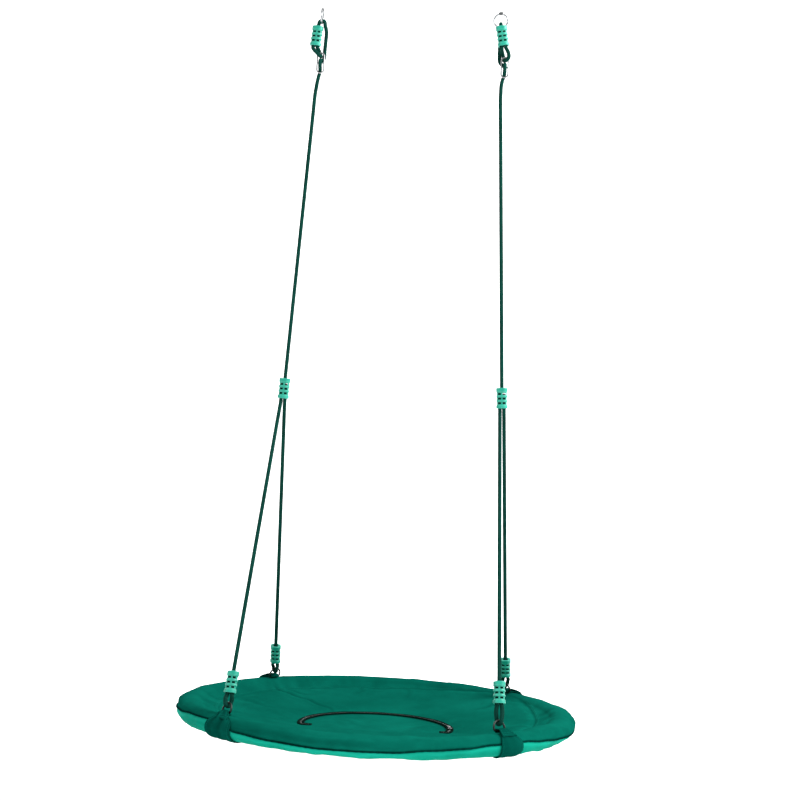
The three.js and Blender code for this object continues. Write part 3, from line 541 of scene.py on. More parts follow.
def on_rim(phi, off=0.0):
    c, s = math.cos(phi), math.sin(phi)
    nx, nzz = c / RIM_A, s / RIM_B
    l = math.hypot(nx, nzz)
    return RIM_R + RIM_A * c + nx / l * off, RIM_B * s + nzz / l * off


# hangers
topL = A([-241.0, 0, -40]); dirL = unit([-4.5, -1.5, -51.8])
cL = clamp_frame(topL + dirL * CLAMP_L, topL)
topR = A([233.0, -13, -34]); dirR = unit([8.5, -4, -51.5])
cR = clamp_frame(topR + dirR * CLAMP_L, topR)
place_clamp("top_clamp_L", cL, "upper_ropes")
place_clamp("top_clamp_R", cR, "upper_ropes")

keysL = cL["dead"] + [A(p, float) for p in (
    (-239.2, -0.6, -96.5), (-236.3, 3.2, -101.5), (-234, 7.8, -107), (-232.2, 8.4, -113.5), (-230.9, 4.6, -117.4), (-229.8, 0, -117.3),
    (-230.8, -4.3, -118.2), (-233.2, -8, -117), (-237, -10, -113), (-242.5, -9.5, -108), (-248, -7, -102), (-251, -3.5, -96.5))]
keysL += cL["through"] + [A(p, float) for p in ((-240.7, 0, -38.2), (-239.3, 0, -35.4))]
keysL += [A([-HANG_X + 7.95 * math.cos(t), 0, -32.5 + 7.95 * math.sin(t)]) for t in np.linspace(math.pi, 0, 9)]
keysL += [A(p, float) for p in (
    (-222.3, 0, -38), (-219.5, .5, -48), (-218.3, 1.5, -60), (-219.2, 3, -75), (-220.3, 5, -90), (-221.4, 8, -103),
    (-221.5, 10.6, -114), (-222.8, 10.4, -121.5), (-226, 6.5, -127.4), (-229.3, 0, -128), (-229.5, -4.5, -129.2), (-229.5, -7.7, -133.5), (-229.5, -7.9, -139),
    (-229.5, -6, -146), (-229.8, 0, -152), (-230.8, 5, -155.6), (-232, 8.2, -160), (-233.6, 8.5, -167), (-235.3, 6.5, -177), (-236.6, 3.8, -189),
    (-238, 1.5, -203), (-main_x(-218), 0, -218))]
keysR = cR["dead"] + [cR["at"](STRAND, -4)] + [A(p, float) for p in (
    (253.2, -15, -98.5), (256, -12, -108), (255, -10.5, -113.5), (251.5, -7.6, -117.5), (248.5, -3.6, -118), (246, 0, -117.3),
    (244.6, 4.4, -117.6), (243.3, 8, -114.8), (241.8, 8.6, -109), (240.2, 6.5, -102.5), (238.6, 1, -97.5), (237.3, -8, -94))] + [cR["at"](-STRAND, -5.5)]
keysR += cR["through"] + [A(p, float) for p in (
    (232.6, -12.6, -31.3), (232, -10.8, -27.8), (231.4, -7.4, -25.2), (231.1, -3, -24.2), (231, 2, -24.4), (231, 6.2, -27.2), (231, 8.1, -31), (231, 8.4, -36),
    (231.2, 9, -45), (231, 10.5, -60), (230.8, 12, -78), (230.8, 13, -95), (231, 13, -108), (232.8, 12.6, -118), (237, 10.6, -125.2), (242.3, 6.2, -128.2),
    (246.3, 0, -128), (246.8, -4.5, -129.2), (247, -7.7, -133.5), (247, -7.9, -139), (247, -6, -146), (246.5, 0, -152), (245.5, 5, -155.6), (244, 8.2, -160),
    (242, 8.6, -166), (240.2, 7, -175), (239.3, 4.5, -187), (239.3, 2, -201), (main_x(-218), 0, -218))]
upper = {-1: keysL, 1: keysR}
hanger_ends = {-1: len(keysL), 1: len(keysR)}

dees = {}
ROPE_STEP = 1.3
for side_name, side in (("L", -1), ("R", 1)):
    m = clamp_frame(A([side * MID_BOT[0], 0, MID_BOT[2]]), A([side * MID_TOP[0], 0, MID_TOP[2]]))
    place_clamp(f"branch_clamp_{side_name}", m, "seat")
    for row, sy in (("F", -1), ("B", 1)):
        key = row + side_name
        az = math.atan2(sy, side)
        er, et = A([math.cos(az), math.sin(az), 0]), A([-math.sin(az), math.cos(az), 0])
        br, bz = on_rim(DEE_PHI * RAD, 1.2 + STRAP_T + 0.4 + DEE_WIRE)
        bar = rim_point(az, br, bz)
        ex = m["at"](-STRAND if row == "F" else STRAND, -9)
        l = unit(ex - bar)
        for _ in range(6):
            e2 = unit(l - et * (l @ et))
            al = math.atan2(l @ et, l @ e2)
            c = e2 * math.cos(al) + et * math.sin(al)
            apex = bar + e2 * DEE_LEG + c * DEE_HALF
            touch = apex - c * (DEE_WIRE + ROPE_R + 0.4)
            l = unit(ex - touch)
        wr = et * math.cos(al) - e2 * math.sin(al)
        nrm = unit(np.cross(wr, l))
        reach = LOOP[key]
        s = clamp_frame(touch + l * reach, touch + l * (reach + CLAMP_L))
        if nrm @ s["w"] < 0:
            nrm = -nrm
        place_clamp(f"seat_clamp_{key}", s, "seat")

        def strand(u, h):
            k = min(max((h - 8) / (reach - 10), 0), 1)
            q = k * k * (3 - 2 * k)
            dn = unit(nrm * (1 - q) + s["w"] * q)
            return touch + l * h + dn * (u * (7.8 + (STRAND - 7.8) * q + 1.3 * math.sin(math.pi * k)))

        hs = (0.86, 0.68, 0.5, 0.34) if reach > 45 else (0.82, 0.6, 0.4)
        loop = [strand(-1, reach * f) for f in hs]
        loop += [apex - nrm * 7.8 * math.cos(t) - l * 7.8 * math.sin(t) for t in np.linspace(0, math.pi, 9)]
        loop += [strand(1, reach * f) for f in hs[::-1]]
        bend = [m["at"](-STRAND if row == "F" else STRAND, -4.5), ex - l * 6]
        bend[1] = ex - l * 6
        down = s["through"][::-1] + loop + s["dead"][::-1]
        n_run = int(np.linalg.norm(s["at"](0, CLAMP_L) - ex) / 60)
        run = [ex + (s["at"](0, CLAMP_L) - ex) * i / n_run for i in range(1, n_run)]
        if row == "F":
            j = A([side * MID_TOP[0], 0, MID_TOP[2]]) + mid_axis(side) * 6.1
            far = upper[side][-1]
            n_main = int(np.linalg.norm(j - far) / 60)
            mainrun = [far + (j - far) * i / n_main for i in range(1, n_main)] + [j]
            keys = upper[side] + mainrun + m["through"][::-1] + [bend[0]] + [ex] + run + down
            pts = catmull(keys, ROPE_STEP)
            ob = braided(f"rope_{side_name}_main_and_{key}_leg", pts)
            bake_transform(ob)
            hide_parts(*(["rope_L_eye", "rope_L_bight", "rope_L_main", "rope_leg_FL"] if side < 0 else ["rope_R_main", "rope_leg_FR"]))
        else:
            keys = m["dead"] + [bend[0]] + [ex] + run + down
            pts = catmull(keys, ROPE_STEP)
            ob = braided(f"rope_{key}_leg_braid", pts)
            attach(ob, "seat")
            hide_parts(f"rope_leg_{key}")

        # D ring: a straight bar, two legs and a round bow
        R = 4.0
        dn = np.cross(et, e2)
        path2 = [(x, 0.0) for x in np.linspace(-(DEE_HALF - R), DEE_HALF - R, 9)[:-1]]
        path2 += [(DEE_HALF - R + R * math.sin(t), R - R * math.cos(t)) for t in np.linspace(0, math.pi / 2, 7)]
        path2 += [(DEE_HALF * math.cos(t), DEE_LEG + DEE_HALF * math.sin(t)) for t in np.linspace(0, math.pi, 33)]
        path2 += [(-(DEE_HALF - R) - R * math.cos(t), R - R * math.sin(t)) for t in np.linspace(0, math.pi / 2, 7)[:-1]]
        pts2 = A([bar + et * x + e2 * y for x, y in path2])
        pts2 = resample(np.vstack([pts2, pts2[:1]]), 1.1)[0][:-1]
        d = wire(f"d_ring_{key}_wire", pts2, DEE_WIRE, DEEMETAL, 18)
        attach(d, "seat")
        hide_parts(f"d_ring_{key}")
        dees[key] = (bar, et, e2, az)


# ------------------------------------------------------------------ hanging rings and adjuster links
def hang_ring(name, x, edge_on):
    t = np.arange(120) * 2 * math.pi / 120 + math.pi / 2
    c, s = RING_R * np.cos(t), RING_R * np.sin(t)
    z = s - 15
    pts = np.stack([np.full(120, x), c, z], 1) if edge_on else np.stack([x + c, np.zeros(120), z], 1)
    # the butt weld at the top is a little thicker than the wire
    dt = np.abs((t - math.pi / 2 + math.pi) % (2 * math.pi) - math.pi)
    r = RING_WIRE + 1.6 * np.exp(-(dt / 0.26) ** 4) + 0.12 * np.exp(-(dt / 0.26) ** 4) * np.sin(t * 90)
    off = 1.6 * np.exp(-(dt / 0.26) ** 4)  # it swells outwards, and the inner top stays where it is
    axis = pts - A([x, 0, -15])
    pts = pts + axis / np.linalg.norm(axis, axis=1)[:, None] * off[:, None]
    ob = wire(f"{name}_wire", pts, r, CHROME, 24)
    ob.data.materials.append(WELD)
    n1 = 24
    for p in ob.data.polygons:
        row = min(v // n1 for v in p.vertices)
        if dt[row % 120] < 0.3:
            p.material_index = 1
    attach(ob, "hanging_rings")
    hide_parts(name)


hang_ring("hang_ring_L", -HANG_X, True)
hang_ring("hang_ring_R", HANG_X, False)


def link(name, x):
    pts = []
    for t in np.linspace(0, math.pi, 30):
        pts.append((x + LINK_HALF * math.cos(t), 0, LINK_Z[0] + LINK_HALF * math.sin(t)))
    for z in np.linspace(LINK_Z[0], LINK_Z[1], 24)[1:-1]:
        pts.append((x - LINK_HALF, 0, z))
    for t in np.linspace(math.pi, 2 * math.pi, 30):
        pts.append((x + LINK_HALF * math.cos(t), 0, LINK_Z[1] + LINK_HALF * math.sin(t)))
    for z in np.linspace(LINK_Z[1], LINK_Z[0], 24)[1:-1]:
        pts.append((x + LINK_HALF, 0, z))
    a = wire(f"{name}_wire", A(pts, float), LINK_WIRE, ZINC, 20)
    zc = (LINK_Z[0] + LINK_Z[1]) / 2
    xs = np.linspace(-LINK_HALF, LINK_HALF, 25)
    # the cross bar flares into fillets where it is welded to the frame
    rr = LINK_WIRE * 0.92 + 0.9 * np.exp(-((LINK_HALF - np.abs(xs)) - 1.2).clip(0) ** 2 / 1.6)
    b = wire("bar", np.stack([x + xs, np.zeros(25), np.full(25, zc)], 1), np.minimum(rr, 2.7), ZINC, 18, closed=False)
    ob = join(f"{name}_wire", [a, b])
    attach(ob, "upper_ropes")
    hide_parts(name)


link("adjuster_link_L", -229.5)
link("adjuster_link_R", 246.5)


# ------------------------------------------------------------------ seat: shared shape of the covers
def periodic(az, table):
    """Smooth value round the seat from (degrees, value) pairs."""
    t = sorted((a % 360, v) for a, v in table)
    a = A([t[-1][0] - 360] + [p[0] for p in t] + [t[0][0] + 360])
    v = A([t[-1][1]] + [p[1] for p in t] + [t[0][1]])
    x = np.degrees(az) % 360
    i = np.clip(np.searchsorted(a, x, side="right") - 1, 0, len(a) - 2)
    f = (x - a[i]) / (a[i + 1] - a[i])
    f = f * f * (3 - 2 * f)
    return v[i] * (1 - f) + v[i + 1] * f


def seam_phi(az):
    """Where the welt sits on the rim's section, in degrees: pulled up beside the straps, hanging between them."""
    return periodic(az, [(203, 16), (214, 33), (225, 38), (237, 3), (248, -8), (262, -18), (280, -15), (290, -1), (300, 6), (308, 18), (320, 20), (327, 8),
                         (336, -4), (350, -20), (5, -12), (25, 4), (45, 22), (62, 4), (90, -12), (115, 2), (135, 24), (155, 0), (178, -8), (192, 4)])


def band_r(az):
    """Radius of the seam between the border band and the middle panel."""
    a = (np.degrees(az) + 180) % 360 - 180
    d = a - 43
    w = np.where(d < 0, 24.0, 42.0)
    return 397 + 48 * np.exp(-(d / w) ** 2) + 3 * np.sin(np.radians(3 * a + 40)) * (1 - np.exp(-((d) / 60) ** 2))


DISH = A([(0, -43), (60, -42.2), (100, -40.6), (150, -37.8), (188, -34.8), (240, -28.8), (300, -20.2), (345, -13.0), (380, -6.5), (413, 1.5), (436.4, 12.5)])
UNDER = A([(0, -61), (60, -60.2), (120, -57.2), (185, -52.5), (240, -46.8), (300, -38.5), (360, -27.8), (410, -17.5), (436.4, -12.5)])


def smooth_curve(P, n=400):
    """Cubic through the points, evenly spaced by length."""
    K = np.hstack([P, np.zeros((len(P), 1))])
    c = catmull(K, 1.0)[:, :2]
    return c


def section(kind, phi_end):
    """The cover's line in one radial plane, from the centre out to the welt: (r, z) every mm."""
    dish = DISH if kind > 0 else UNDER
    ph = np.radians(np.linspace(150, phi_end, 60) if kind > 0 else np.linspace(-150, phi_end, 60))
    rim = np.stack([RIM_R + RIM_A * np.cos(ph), RIM_B * np.sin(ph)], 1)
    K = np.vstack([dish[:-1], rim])
    c = catmull(np.hstack([K, np.zeros((len(K), 1))]), 1.0)[:, :2]
    return c


def cover_grid(kind, na, nr):
    az = np.arange(na) * 2 * math.pi / na
    phi = seam_phi(az)
    P = np.zeros((na, nr, 2))
    S = np.zeros((na, nr))
    for i in range(na):
        c = section(kind, phi[i])
        d = np.r_[0, np.cumsum(np.linalg.norm(np.diff(c, axis=0), axis=1))]
        # denser towards the rim
        u = np.linspace(0, 1, nr)
        u = np.where(u < 0.34, u / 0.34 * 0.62, 0.62 + (u - 0.34) / 0.66 * 0.38)
        s = u * d[-1]
        P[i, :, 0] = np.interp(s, d, c[:, 0])
        P[i, :, 1] = np.interp(s, d, c[:, 1])
        S[i] = s
    return az, P, S


def bump_at(d, w):
    return np.exp(-(d / w) ** 2)


# folds on the middle panel and the rim: (points x, y in mm), half width, depth; the cloth rises beside the hollow
CREASES = [
    ([(-330, 335), (-314, 306), (-300, 270), (-292, 250), (-262, 240), (-236, 222), (-206, 216), (-176, 190), (-140, 170), (-128, 146)], 6.0, 3.4),
    ([(-296, 262), (-262, 272), (-236, 262), (-205, 268)], 6.5, 1.6),
    ([(-104, 84), (-72, 66), (-58, 40), (-24, 30)], 9.0, 0.9),
    ([(318, 306), (292, 268), (268, 226), (236, 214)], 9.0, 1.5),
    ([(334, -322), (304, -284), (258, -258), (236, -218)], 9.0, 1.5),
    ([(-334, -322), (-296, -290), (-262, -238), (-210, -220)], 9.0, 1.8),
    ([(-66, -396), (-36, -350), (-40, -300), (-20, -262)], 8.0, 1.6),
    ([(118, -402), (96, -352), (108, -312), (90, -276)], 8.0, 1.3),
    ([(-392, 92), (-340, 96), (-300, 72), (-262, 74)], 9.0, 1.2),
    ([(396, -60), (344, -48), (286, -60)], 9.0, 1.0),
    ([(40, 404), (52, 362), (44, 330)], 7.0, 1.0),
    ([(-96, 398), (-80, 360), (-98, 326)], 7.0, 1.0),
]


def crease_field(x, y):
    out = np.zeros_like(x)
    shade = np.zeros_like(x)
    for pts, w, depth in CREASES:
        q = catmull(A([(a, b, 0) for a, b in pts], float), 4.0)[:, :2]
        best = np.full(x.shape, 1e9)
        along = np.zeros_like(x)
        for k, (a, b) in enumerate(q):
            d = np.hypot(x - a, y - b)
            m = d < best
            best[m] = d[m]
            along[m] = k / (len(q) - 1)
        fade = np.sin(np.clip(along, 0, 1) * math.pi * 0.92 + 0.12) ** 0.8
        fade = np.clip(fade, 0, 1)
        out += depth * fade * (-bump_at(best, w) + 0.95 * bump_at(best - 2.0 * w, 1.2 * w))
        # painted shade in each hollow, painted highlight on the ridge beside it
        shade += -1.5 * depth / 4 * fade * bump_at(best, w * 0.8) + 0.5 * depth / 4 * fade * bump_at(best - 2.0 * w, w)
    return out, shade


def noise_grid(X, Y, Z, scale, seed, octaves=2):
    out = np.zeros(X.shape)
    flat = out.ravel()
    xs, ys, zs = X.ravel() * scale, Y.ravel() * scale, Z.ravel() * scale
    for i in range(len(flat)):
        v = Vector((xs[i] + seed * 13.7, ys[i] - seed * 7.9, zs[i] + seed * 3.1))
        t = noise.noise(v)
        if octaves > 1:
            t += 0.5 * noise.noise(v * 2.1)
        flat[i] = t
    return out


STRAP_AZ = {k: math.atan2(sy, sx) for k, (sx, sy) in CORNERS.items()}
STRAP_HALF = {"FL": 42.0, "FR": 33.0, "BL": 32.0, "BR": 31.0}


def zip_line():
    line = []

    def hook(frm, sgn, tail):
        cx, cy = (ZIP_R - ZIP_HOOK) * math.cos(frm * RAD), (ZIP_R - ZIP_HOOK) * math.sin(frm * RAD)
        out = []
        for d in range(4, 76, 5):
            t = (frm + sgn * d) * RAD
            out.append((cx + ZIP_HOOK * math.cos(t), cy + ZIP_HOOK * math.sin(t), math.cos(t), math.sin(t)))
        x, y, nx, ny = out[-1]
        for q in np.linspace(0, tail, 7)[1:]:
            out.append((x - sgn * q * ny, y + sgn * q * nx, nx, ny))
        return out

    line += hook(ZIP_FROM, -1, 8)[::-1]
    line += [(ZIP_R * math.cos(t), ZIP_R * math.sin(t), math.cos(t), math.sin(t)) for t in np.radians(np.linspace(ZIP_FROM, ZIP_TO, 260))]
    line += hook(ZIP_TO, 1, 14)
    return A(line)


zl = zip_line()


def zip_distance(x, y):
    """Distance in mm from each place to the line of the zip."""
    best = np.full(x.shape, 1e9)
    for px, py, _, _ in zl[::3]:
        best = np.minimum(best, np.hypot(x - px, y - py))
    return best


def cloth_field(kind):
    """Runs the cover as cloth, a little too large for its frame and pinned at its seams, and returns how far it stands off (mm)."""
    na, nr = 208, 66
    az, P, S = cover_grid(kind, na, nr)
    R, Z = P[..., 0], P[..., 1]
    AZ = np.repeat(az[:, None], nr, 1)
    first = int(np.argmax(R[0] > 26))
    dR, dZ = np.gradient(R, axis=1), np.gradient(Z, axis=1)
    L = np.hypot(dR, dZ) + 1e-9
    NR, NZ = -dZ / L * kind, dR / L * kind
    nrm = np.stack([NR * np.cos(AZ), NR * np.sin(AZ), NZ], -1)
    base = np.stack([R * np.cos(AZ), R * np.sin(AZ), Z], -1)
    step = np.abs(np.gradient(S, axis=1))
    edge = S[:, -1:] - S
    pin = (edge < step * 1.2) | (R < 44)
    if kind > 0:
        pin |= np.abs(R - band_r(AZ)) < step * 0.62
        pin |= zip_distance(R * np.cos(AZ), R * np.sin(AZ)) < step * 0.8
    else:
        pin |= np.abs(edge - 34) < step * 0.55
    for key, a0 in STRAP_AZ.items():
        da = (AZ - a0 + math.pi) % (2 * math.pi) - math.pi
        pin |= (np.abs(da) * 480 < STRAP_HALF[key]) & (R > 425)
    B_ = base[:, first:]
    nc = nr - first
    I, J = np.meshgrid(np.arange(na), np.arange(nc - 1), indexing="ij")
    idx = lambda a, b: (a % na) * nc + b
    F = np.stack([idx(I, J), idx(I + 1, J), idx(I + 1, J + 1), idx(I, J + 1)], -1).reshape(-1, 4)
    if kind > 0:
        F = F[:, ::-1]
    ob = finish_mesh("cloth_blank", B_.reshape(-1, 3) * 0.001, F.tolist(), COVER_D)
    vg = ob.vertex_groups.new(name="pin")
    vg.add(np.nonzero(pin[:, first:].ravel())[0].tolist(), 1.0, "REPLACE")
    md = ob.modifiers.new("Cloth", "CLOTH")
    st = md.settings
    st.quality, st.mass = 6, 0.15
    st.tension_stiffness = st.compression_stiffness = 18
    st.shear_stiffness, st.bending_stiffness = 8, 0.25
    st.vertex_group_mass = "pin"
    st.shrink_min = -0.022
    st.use_pressure, st.uniform_pressure_force = True, 1.1
    st.effector_weights.gravity = 0.0
    md.point_cache.frame_start, md.point_cache.frame_end = 1, 22
    sc = bpy.context.scene
    for f in range(1, 23):
        sc.frame_set(f)
    ev = ob.evaluated_get(bpy.context.evaluated_depsgraph_get())
    me = ev.to_mesh()
    co = np.empty(len(me.vertices) * 3, np.float32)
    me.vertices.foreach_get("co", co)
    ev.to_mesh_clear()
    co = co.reshape(na, nc, 3) * 1000.0
    out = np.zeros((na, nr))
    out[:, first:] = ((co - B_) * nrm[:, first:]).sum(-1)
    sc.frame_set(1)
    bpy.data.objects.remove(ob)
    print("cloth", kind, "stand-off mm: mean %.2f min %.2f max %.2f" % (out.mean(), out.min(), out.max()))
    return az, S, np.clip(out, -1.0, 6.0) * (1.0 if kind > 0 else 0.5)


def sample_field(field, az, S):
    """The coarse field at every point of a fine grid."""
    a_c, S_c, V = field
    na_c, nr_c = V.shape
    f = az / (2 * math.pi) * na_c
    i0 = np.floor(f).astype(int) % na_c
    k = (f - np.floor(f))[:, None]
    out = np.zeros(S.shape)
    for i in range(len(az)):
        rel = S[i] / S[i, -1]
        a = np.interp(rel, S_c[i0[i]] / S_c[i0[i], -1], V[i0[i]])
        b = np.interp(rel, S_c[(i0[i] + 1) % na_c] / S_c[(i0[i] + 1) % na_c, -1], V[(i0[i] + 1) % na_c])
        out[i] = a * (1 - k[i]) + b * k[i]
    return out


def make_cover(kind, name, mat, nodes, slot):
    na, nr = ((400, 120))
    az, P, S = cover_grid(kind, na, nr)
    AZ = np.repeat(az[:, None], nr, 1)
    R, Z = P[..., 0].copy(), P[..., 1].copy()
    X, Y = R * np.cos(AZ), R * np.sin(AZ)
    # normal of the section
    dR, dZ = np.gradient(R, axis=1), np.gradient(Z, axis=1)
    L = np.hypot(dR, dZ) + 1e-9
    NR, NZ = -dZ / L * kind, dR / L * kind
    total = S[:, -1:]
    edge = total - S                                  # distance from the welt, along the cloth
    arc = AZ * 498.0
    rimness = np.clip((R - 405) / 30, 0, 1)
    disp = np.zeros_like(R)
    shade = np.zeros_like(R)
    # soft unevenness of the foam and of the hanging cloth
    low = noise_grid(X, Y, Z, 0.011, 1.0 if kind > 0 else 5.0)
    mid = noise_grid(X, Y, Z, 0.034, 2.0 if kind > 0 else 6.0)
    disp += low * (0.8 + 1.2 * rimness) + mid * (0.3 + 0.4 * rimness)
    sim = sample_field(cloth_field(kind), az, S)
    for _ in range(2):  # round off the coarse cells
        sim = (sim + np.roll(sim, 1, 0) + np.roll(sim, -1, 0)) / 3
        sim[:, 1:-1] = (sim[:, 1:-1] + sim[:, 2:] + sim[:, :-2]) / 3
    disp += sim
    # painted shade where the cloth stands off more than average, a little painted light where it lies lower
    shade += np.clip(-(sim - np.clip(sim, 0.0, None).mean()) * 0.08, -0.25, 0.1)
    # gathers at the welt: the cloth is drawn into the seam
    gather = noise_grid(arc * 0.055, arc * 0.0, edge * 0.012, 1.0, 3.0 if kind > 0 else 8.0)
    ripple = np.sin(arc / 15.0 + 2.2 * gather + 0.9 * np.sin(arc / 61.0))
    disp += 1.15 * ripple * bump_at(edge - 7, 15) * (0.45 + 0.55 * np.abs(gather) * 2)
    disp -= 2.0 * bump_at(edge, 4.5)
    # painted shade in the dip along the welt
    shade -= 0.9 * bump_at(edge, 3.0)
    if kind > 0:
        B = band_r(AZ)
        d = R - B
        # seam of the border band: a stitched groove with small puckers
        disp -= 2.1 * bump_at(d, 2.6)
        disp += 0.9 * bump_at(d - 6, 4.0) + 0.5 * bump_at(d + 6, 4.0)
        pk = noise_grid(arc * 0.09, d * 0.02, Z * 0, 1.0, 4.0)
        disp += 0.85 * np.sin(arc / 7.2 + 3.0 * pk) * bump_at(d - 5, 11)
        # painted shade in the seam's groove
        shade -= 0.7 * bump_at(d, 3.0)
        # painted shade over the border band, deepest near 64 degrees where the back right strap shades it
        shade -= (0.3 + 0.45 * bump_at((np.degrees(AZ) % 360) - 64, 12)) / (1 + np.exp(-(d - 3) / 4.0)) * (1 - 1 / (1 + np.exp(-(d - 48) / 6.0)))
        c, sh = crease_field(X, Y)
        inner = 1 - 0.55 * rimness
        disp += c * inner
        shade += sh * inner
        # folds across the border band, running down from the rim's crest
        fold = noise_grid(arc * 0.021, S * 0.006, Z * 0, 1.0, 9.0)
        disp += 4.4 * fold * bump_at(d - 34, 30)
        # painted highlight on the fold tops, painted shade in the fold hollows
        shade += (0.35 * np.clip(fold, 0, 1) - 1.0 * np.clip(-fold, 0, 1)) * bump_at(d - 30, 26)
        front = bump_at(edge - 14, 13)
        # painted shade on the rim's outer left slope, turned from the light
        shade -= 0.4 * bump_at((np.degrees(AZ) % 360) - 202, 17) * bump_at(edge - 8, 34)
        # painted shade: the rim darker towards the welt, with darker patches
        shade -= 0.35 * front + 0.5 * np.clip(-mid, 0, 1) * bump_at(edge - 24, 20)
        # hollow beside the front left strap, with a painted shadow cast by the strap
        ax = np.degrees(AZ) % 360
        hol = 1 / (1 + np.exp(-(ax - 233) / 0.8)) / (1 + np.exp((ax - 244 + 0.06 * (edge - 30)) / 1.1)) / (1 + np.exp((edge - 52) / 3.0))
        disp -= 0.9 * hol
        shade -= 0.55 * hol
    else:
        crease = noise_grid(arc * 0.03, S * 0.02, Z * 0, 1.0, 11.0)
        disp += 2.2 * crease * bump_at(edge - 22, 22)
        tuck = np.abs(np.sin(arc / 44.0 + 2.0 * low))
        disp += 1.1 * (tuck - 0.6) * bump_at(edge - 14, 12)
        # painted highlight along the upper edge under the welt, painted shade lower down and in the creases
        shade += 0.95 * bump_at(edge - 7, 5) * (0.75 + 0.5 * low) - 0.45 / (1 + np.exp(-(edge - 17) / 3.0)) - 0.4 * np.clip(-crease, 0, 1) * bump_at(edge - 20, 18)
    # straps press the padding in
    for key, a0 in STRAP_AZ.items():
        da = (AZ - a0 + math.pi) % (2 * math.pi) - math.pi
        arcd = np.abs(da) * 480
        half = STRAP_HALF[key]
        under = 1 / (1 + np.exp((arcd - half) / 3.5))
        disp = disp * (1 - 0.85 * under * rimness) - 0.9 * under * rimness
        pull = np.exp(-np.maximum(arcd - half, 0) / 34) * rimness
        disp += 1.1 * np.sin(arcd / 6.0) * pull * (1 - under) * bump_at(edge - 30, 34)
    disp *= np.clip(S / 30, 0, 1)
    disp = disp + np.where(R < 405, 0.5, 0.0) * np.clip(S / 60, 0, 1)
    disp = np.where(disp < -0.5, -0.5 + np.tanh((disp + 0.5) * 0.5) * 0.5, disp)
    # the middle lies flat where the zip is sewn in
    if kind > 0:
        zd = zip_distance(X, Y)
        disp *= 1 - np.exp(-(zd / 15) ** 4)
    R2, Z2 = R + NR * disp, Z + NZ * disp
    G = np.stack([R2 * np.cos(AZ), R2 * np.sin(AZ), Z2 + RIM_Z], -1)
    UV = np.stack([S * np.cos(AZ), S * np.sin(AZ)], -1) * 0.001
    UV = np.vstack([UV, UV[:1]])
    # one vertex at the middle instead of a ring of them
    verts = G[:, 1:].reshape(-1, 3)
    ncol = nr - 1
    I, J = np.meshgrid(np.arange(na), np.arange(ncol - 1), indexing="ij")
    idx = lambda a, b: (a % na) * ncol + b
    F = np.stack([idx(I, J), idx(I + 1, J), idx(I + 1, J + 1), idx(I, J + 1)], -1).reshape(-1, 4)
    U = np.stack([UV[I, J + 1], UV[I + 1, J + 1], UV[I + 1, J + 2], UV[I, J + 2]], 2).reshape(-1, 4, 2)
    if kind > 0:
        F, U = F[:, ::-1], U[:, ::-1]
    centre = len(verts)
    verts = np.vstack([verts, [[0, 0, G[:, 0, 2].mean()]]])
    faces = F.tolist()
    uvs = [U.reshape(-1, 2)]
    for i in range(na):
        tri = [idx(i, 0), idx(i + 1, 0), centre] if kind > 0 else [idx(i + 1, 0), idx(i, 0), centre]
        faces.append(tri)
        uvs.append(A([UV[v, 1] if v <= na else UV[0, 1] for v in ((i, i + 1) if kind > 0 else (i + 1, i))] + [(0, 0)]))
    sh = np.r_[shade[:, 1:].ravel(), 0]
    ob = finish_mesh(name, verts * 0.001, faces, mat, np.vstack(uvs), attrs={"shade": np.clip(sh, -1, 1)})
    return ob, G, az


top, GT, AZT = make_cover(1, "cover_top_cloth", COVER_D, None, None)
bot, GB, AZB = make_cover(-1, "cover_bottom_cloth", COVER_B, None, None)
for ob, node, sl in ((top, "cover_top", "cover_dark"), (bot, "cover_bottom", "cover_bright")):
    so = ob.modifiers.new("thickness", "SOLIDIFY")
    so.thickness, so.offset = 0.0012, -1.0
    apply_mods(ob)
    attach(ob, "seat")
    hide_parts(node)

# ------------------------------------------------------------------ welt along the rim
n = 720
az = np.arange(n) * 2 * math.pi / n
ph = seam_phi(az)
pts = []
for i in range(n):
    r, z = on_rim(math.radians(ph[i]), 0.1)
    pts.append(rim_point(az[i], r, z))
rr = 2.15 + 0.22 * np.sin(az * 498 / 2.6) + 0.2 * A([nz(math.cos(a) * 9, math.sin(a) * 9, 0) for a in az])
welt = wire("rim_welt", A(pts), rr, PIPING, 12)
uvl = welt.data.uv_layers.new(name="UVMap")
co = A([v.co for v in welt.data.vertices])
lv = A([l.vertex_index for l in welt.data.loops])
uvl.data.foreach_set("uv", np.stack([np.arctan2(co[lv, 1], co[lv, 0]) * 0.498, co[lv, 2] * 1.4], 1).astype(np.float32).ravel())
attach(welt, "seat")
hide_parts("rim_piping")


# ------------------------------------------------------------------ stitches
def cover_z(x, y):
    """Height of the top cover at a place, from its grid."""
    a = math.atan2(y, x) % (2 * math.pi)
    na = len(AZT)
    f = a / (2 * math.pi) * na
    i = int(f) % na
    k = f - int(f)
    r = math.hypot(x, y)
    out = []
    for q in (i, (i + 1) % na):
        rr_ = np.hypot(GT[q, :, 0], GT[q, :, 1])
        top_i = int(np.argmax(rr_ > min(r, 464.0))) or len(rr_) - 1
        a0, a1 = rr_[top_i - 1], rr_[top_i]
        t = (r - a0) / max(a1 - a0, 1e-6)
        out.append(GT[q, top_i - 1, 2] * (1 - t) + GT[q, top_i, 2] * t)
    return out[0] * (1 - k) + out[1] * k


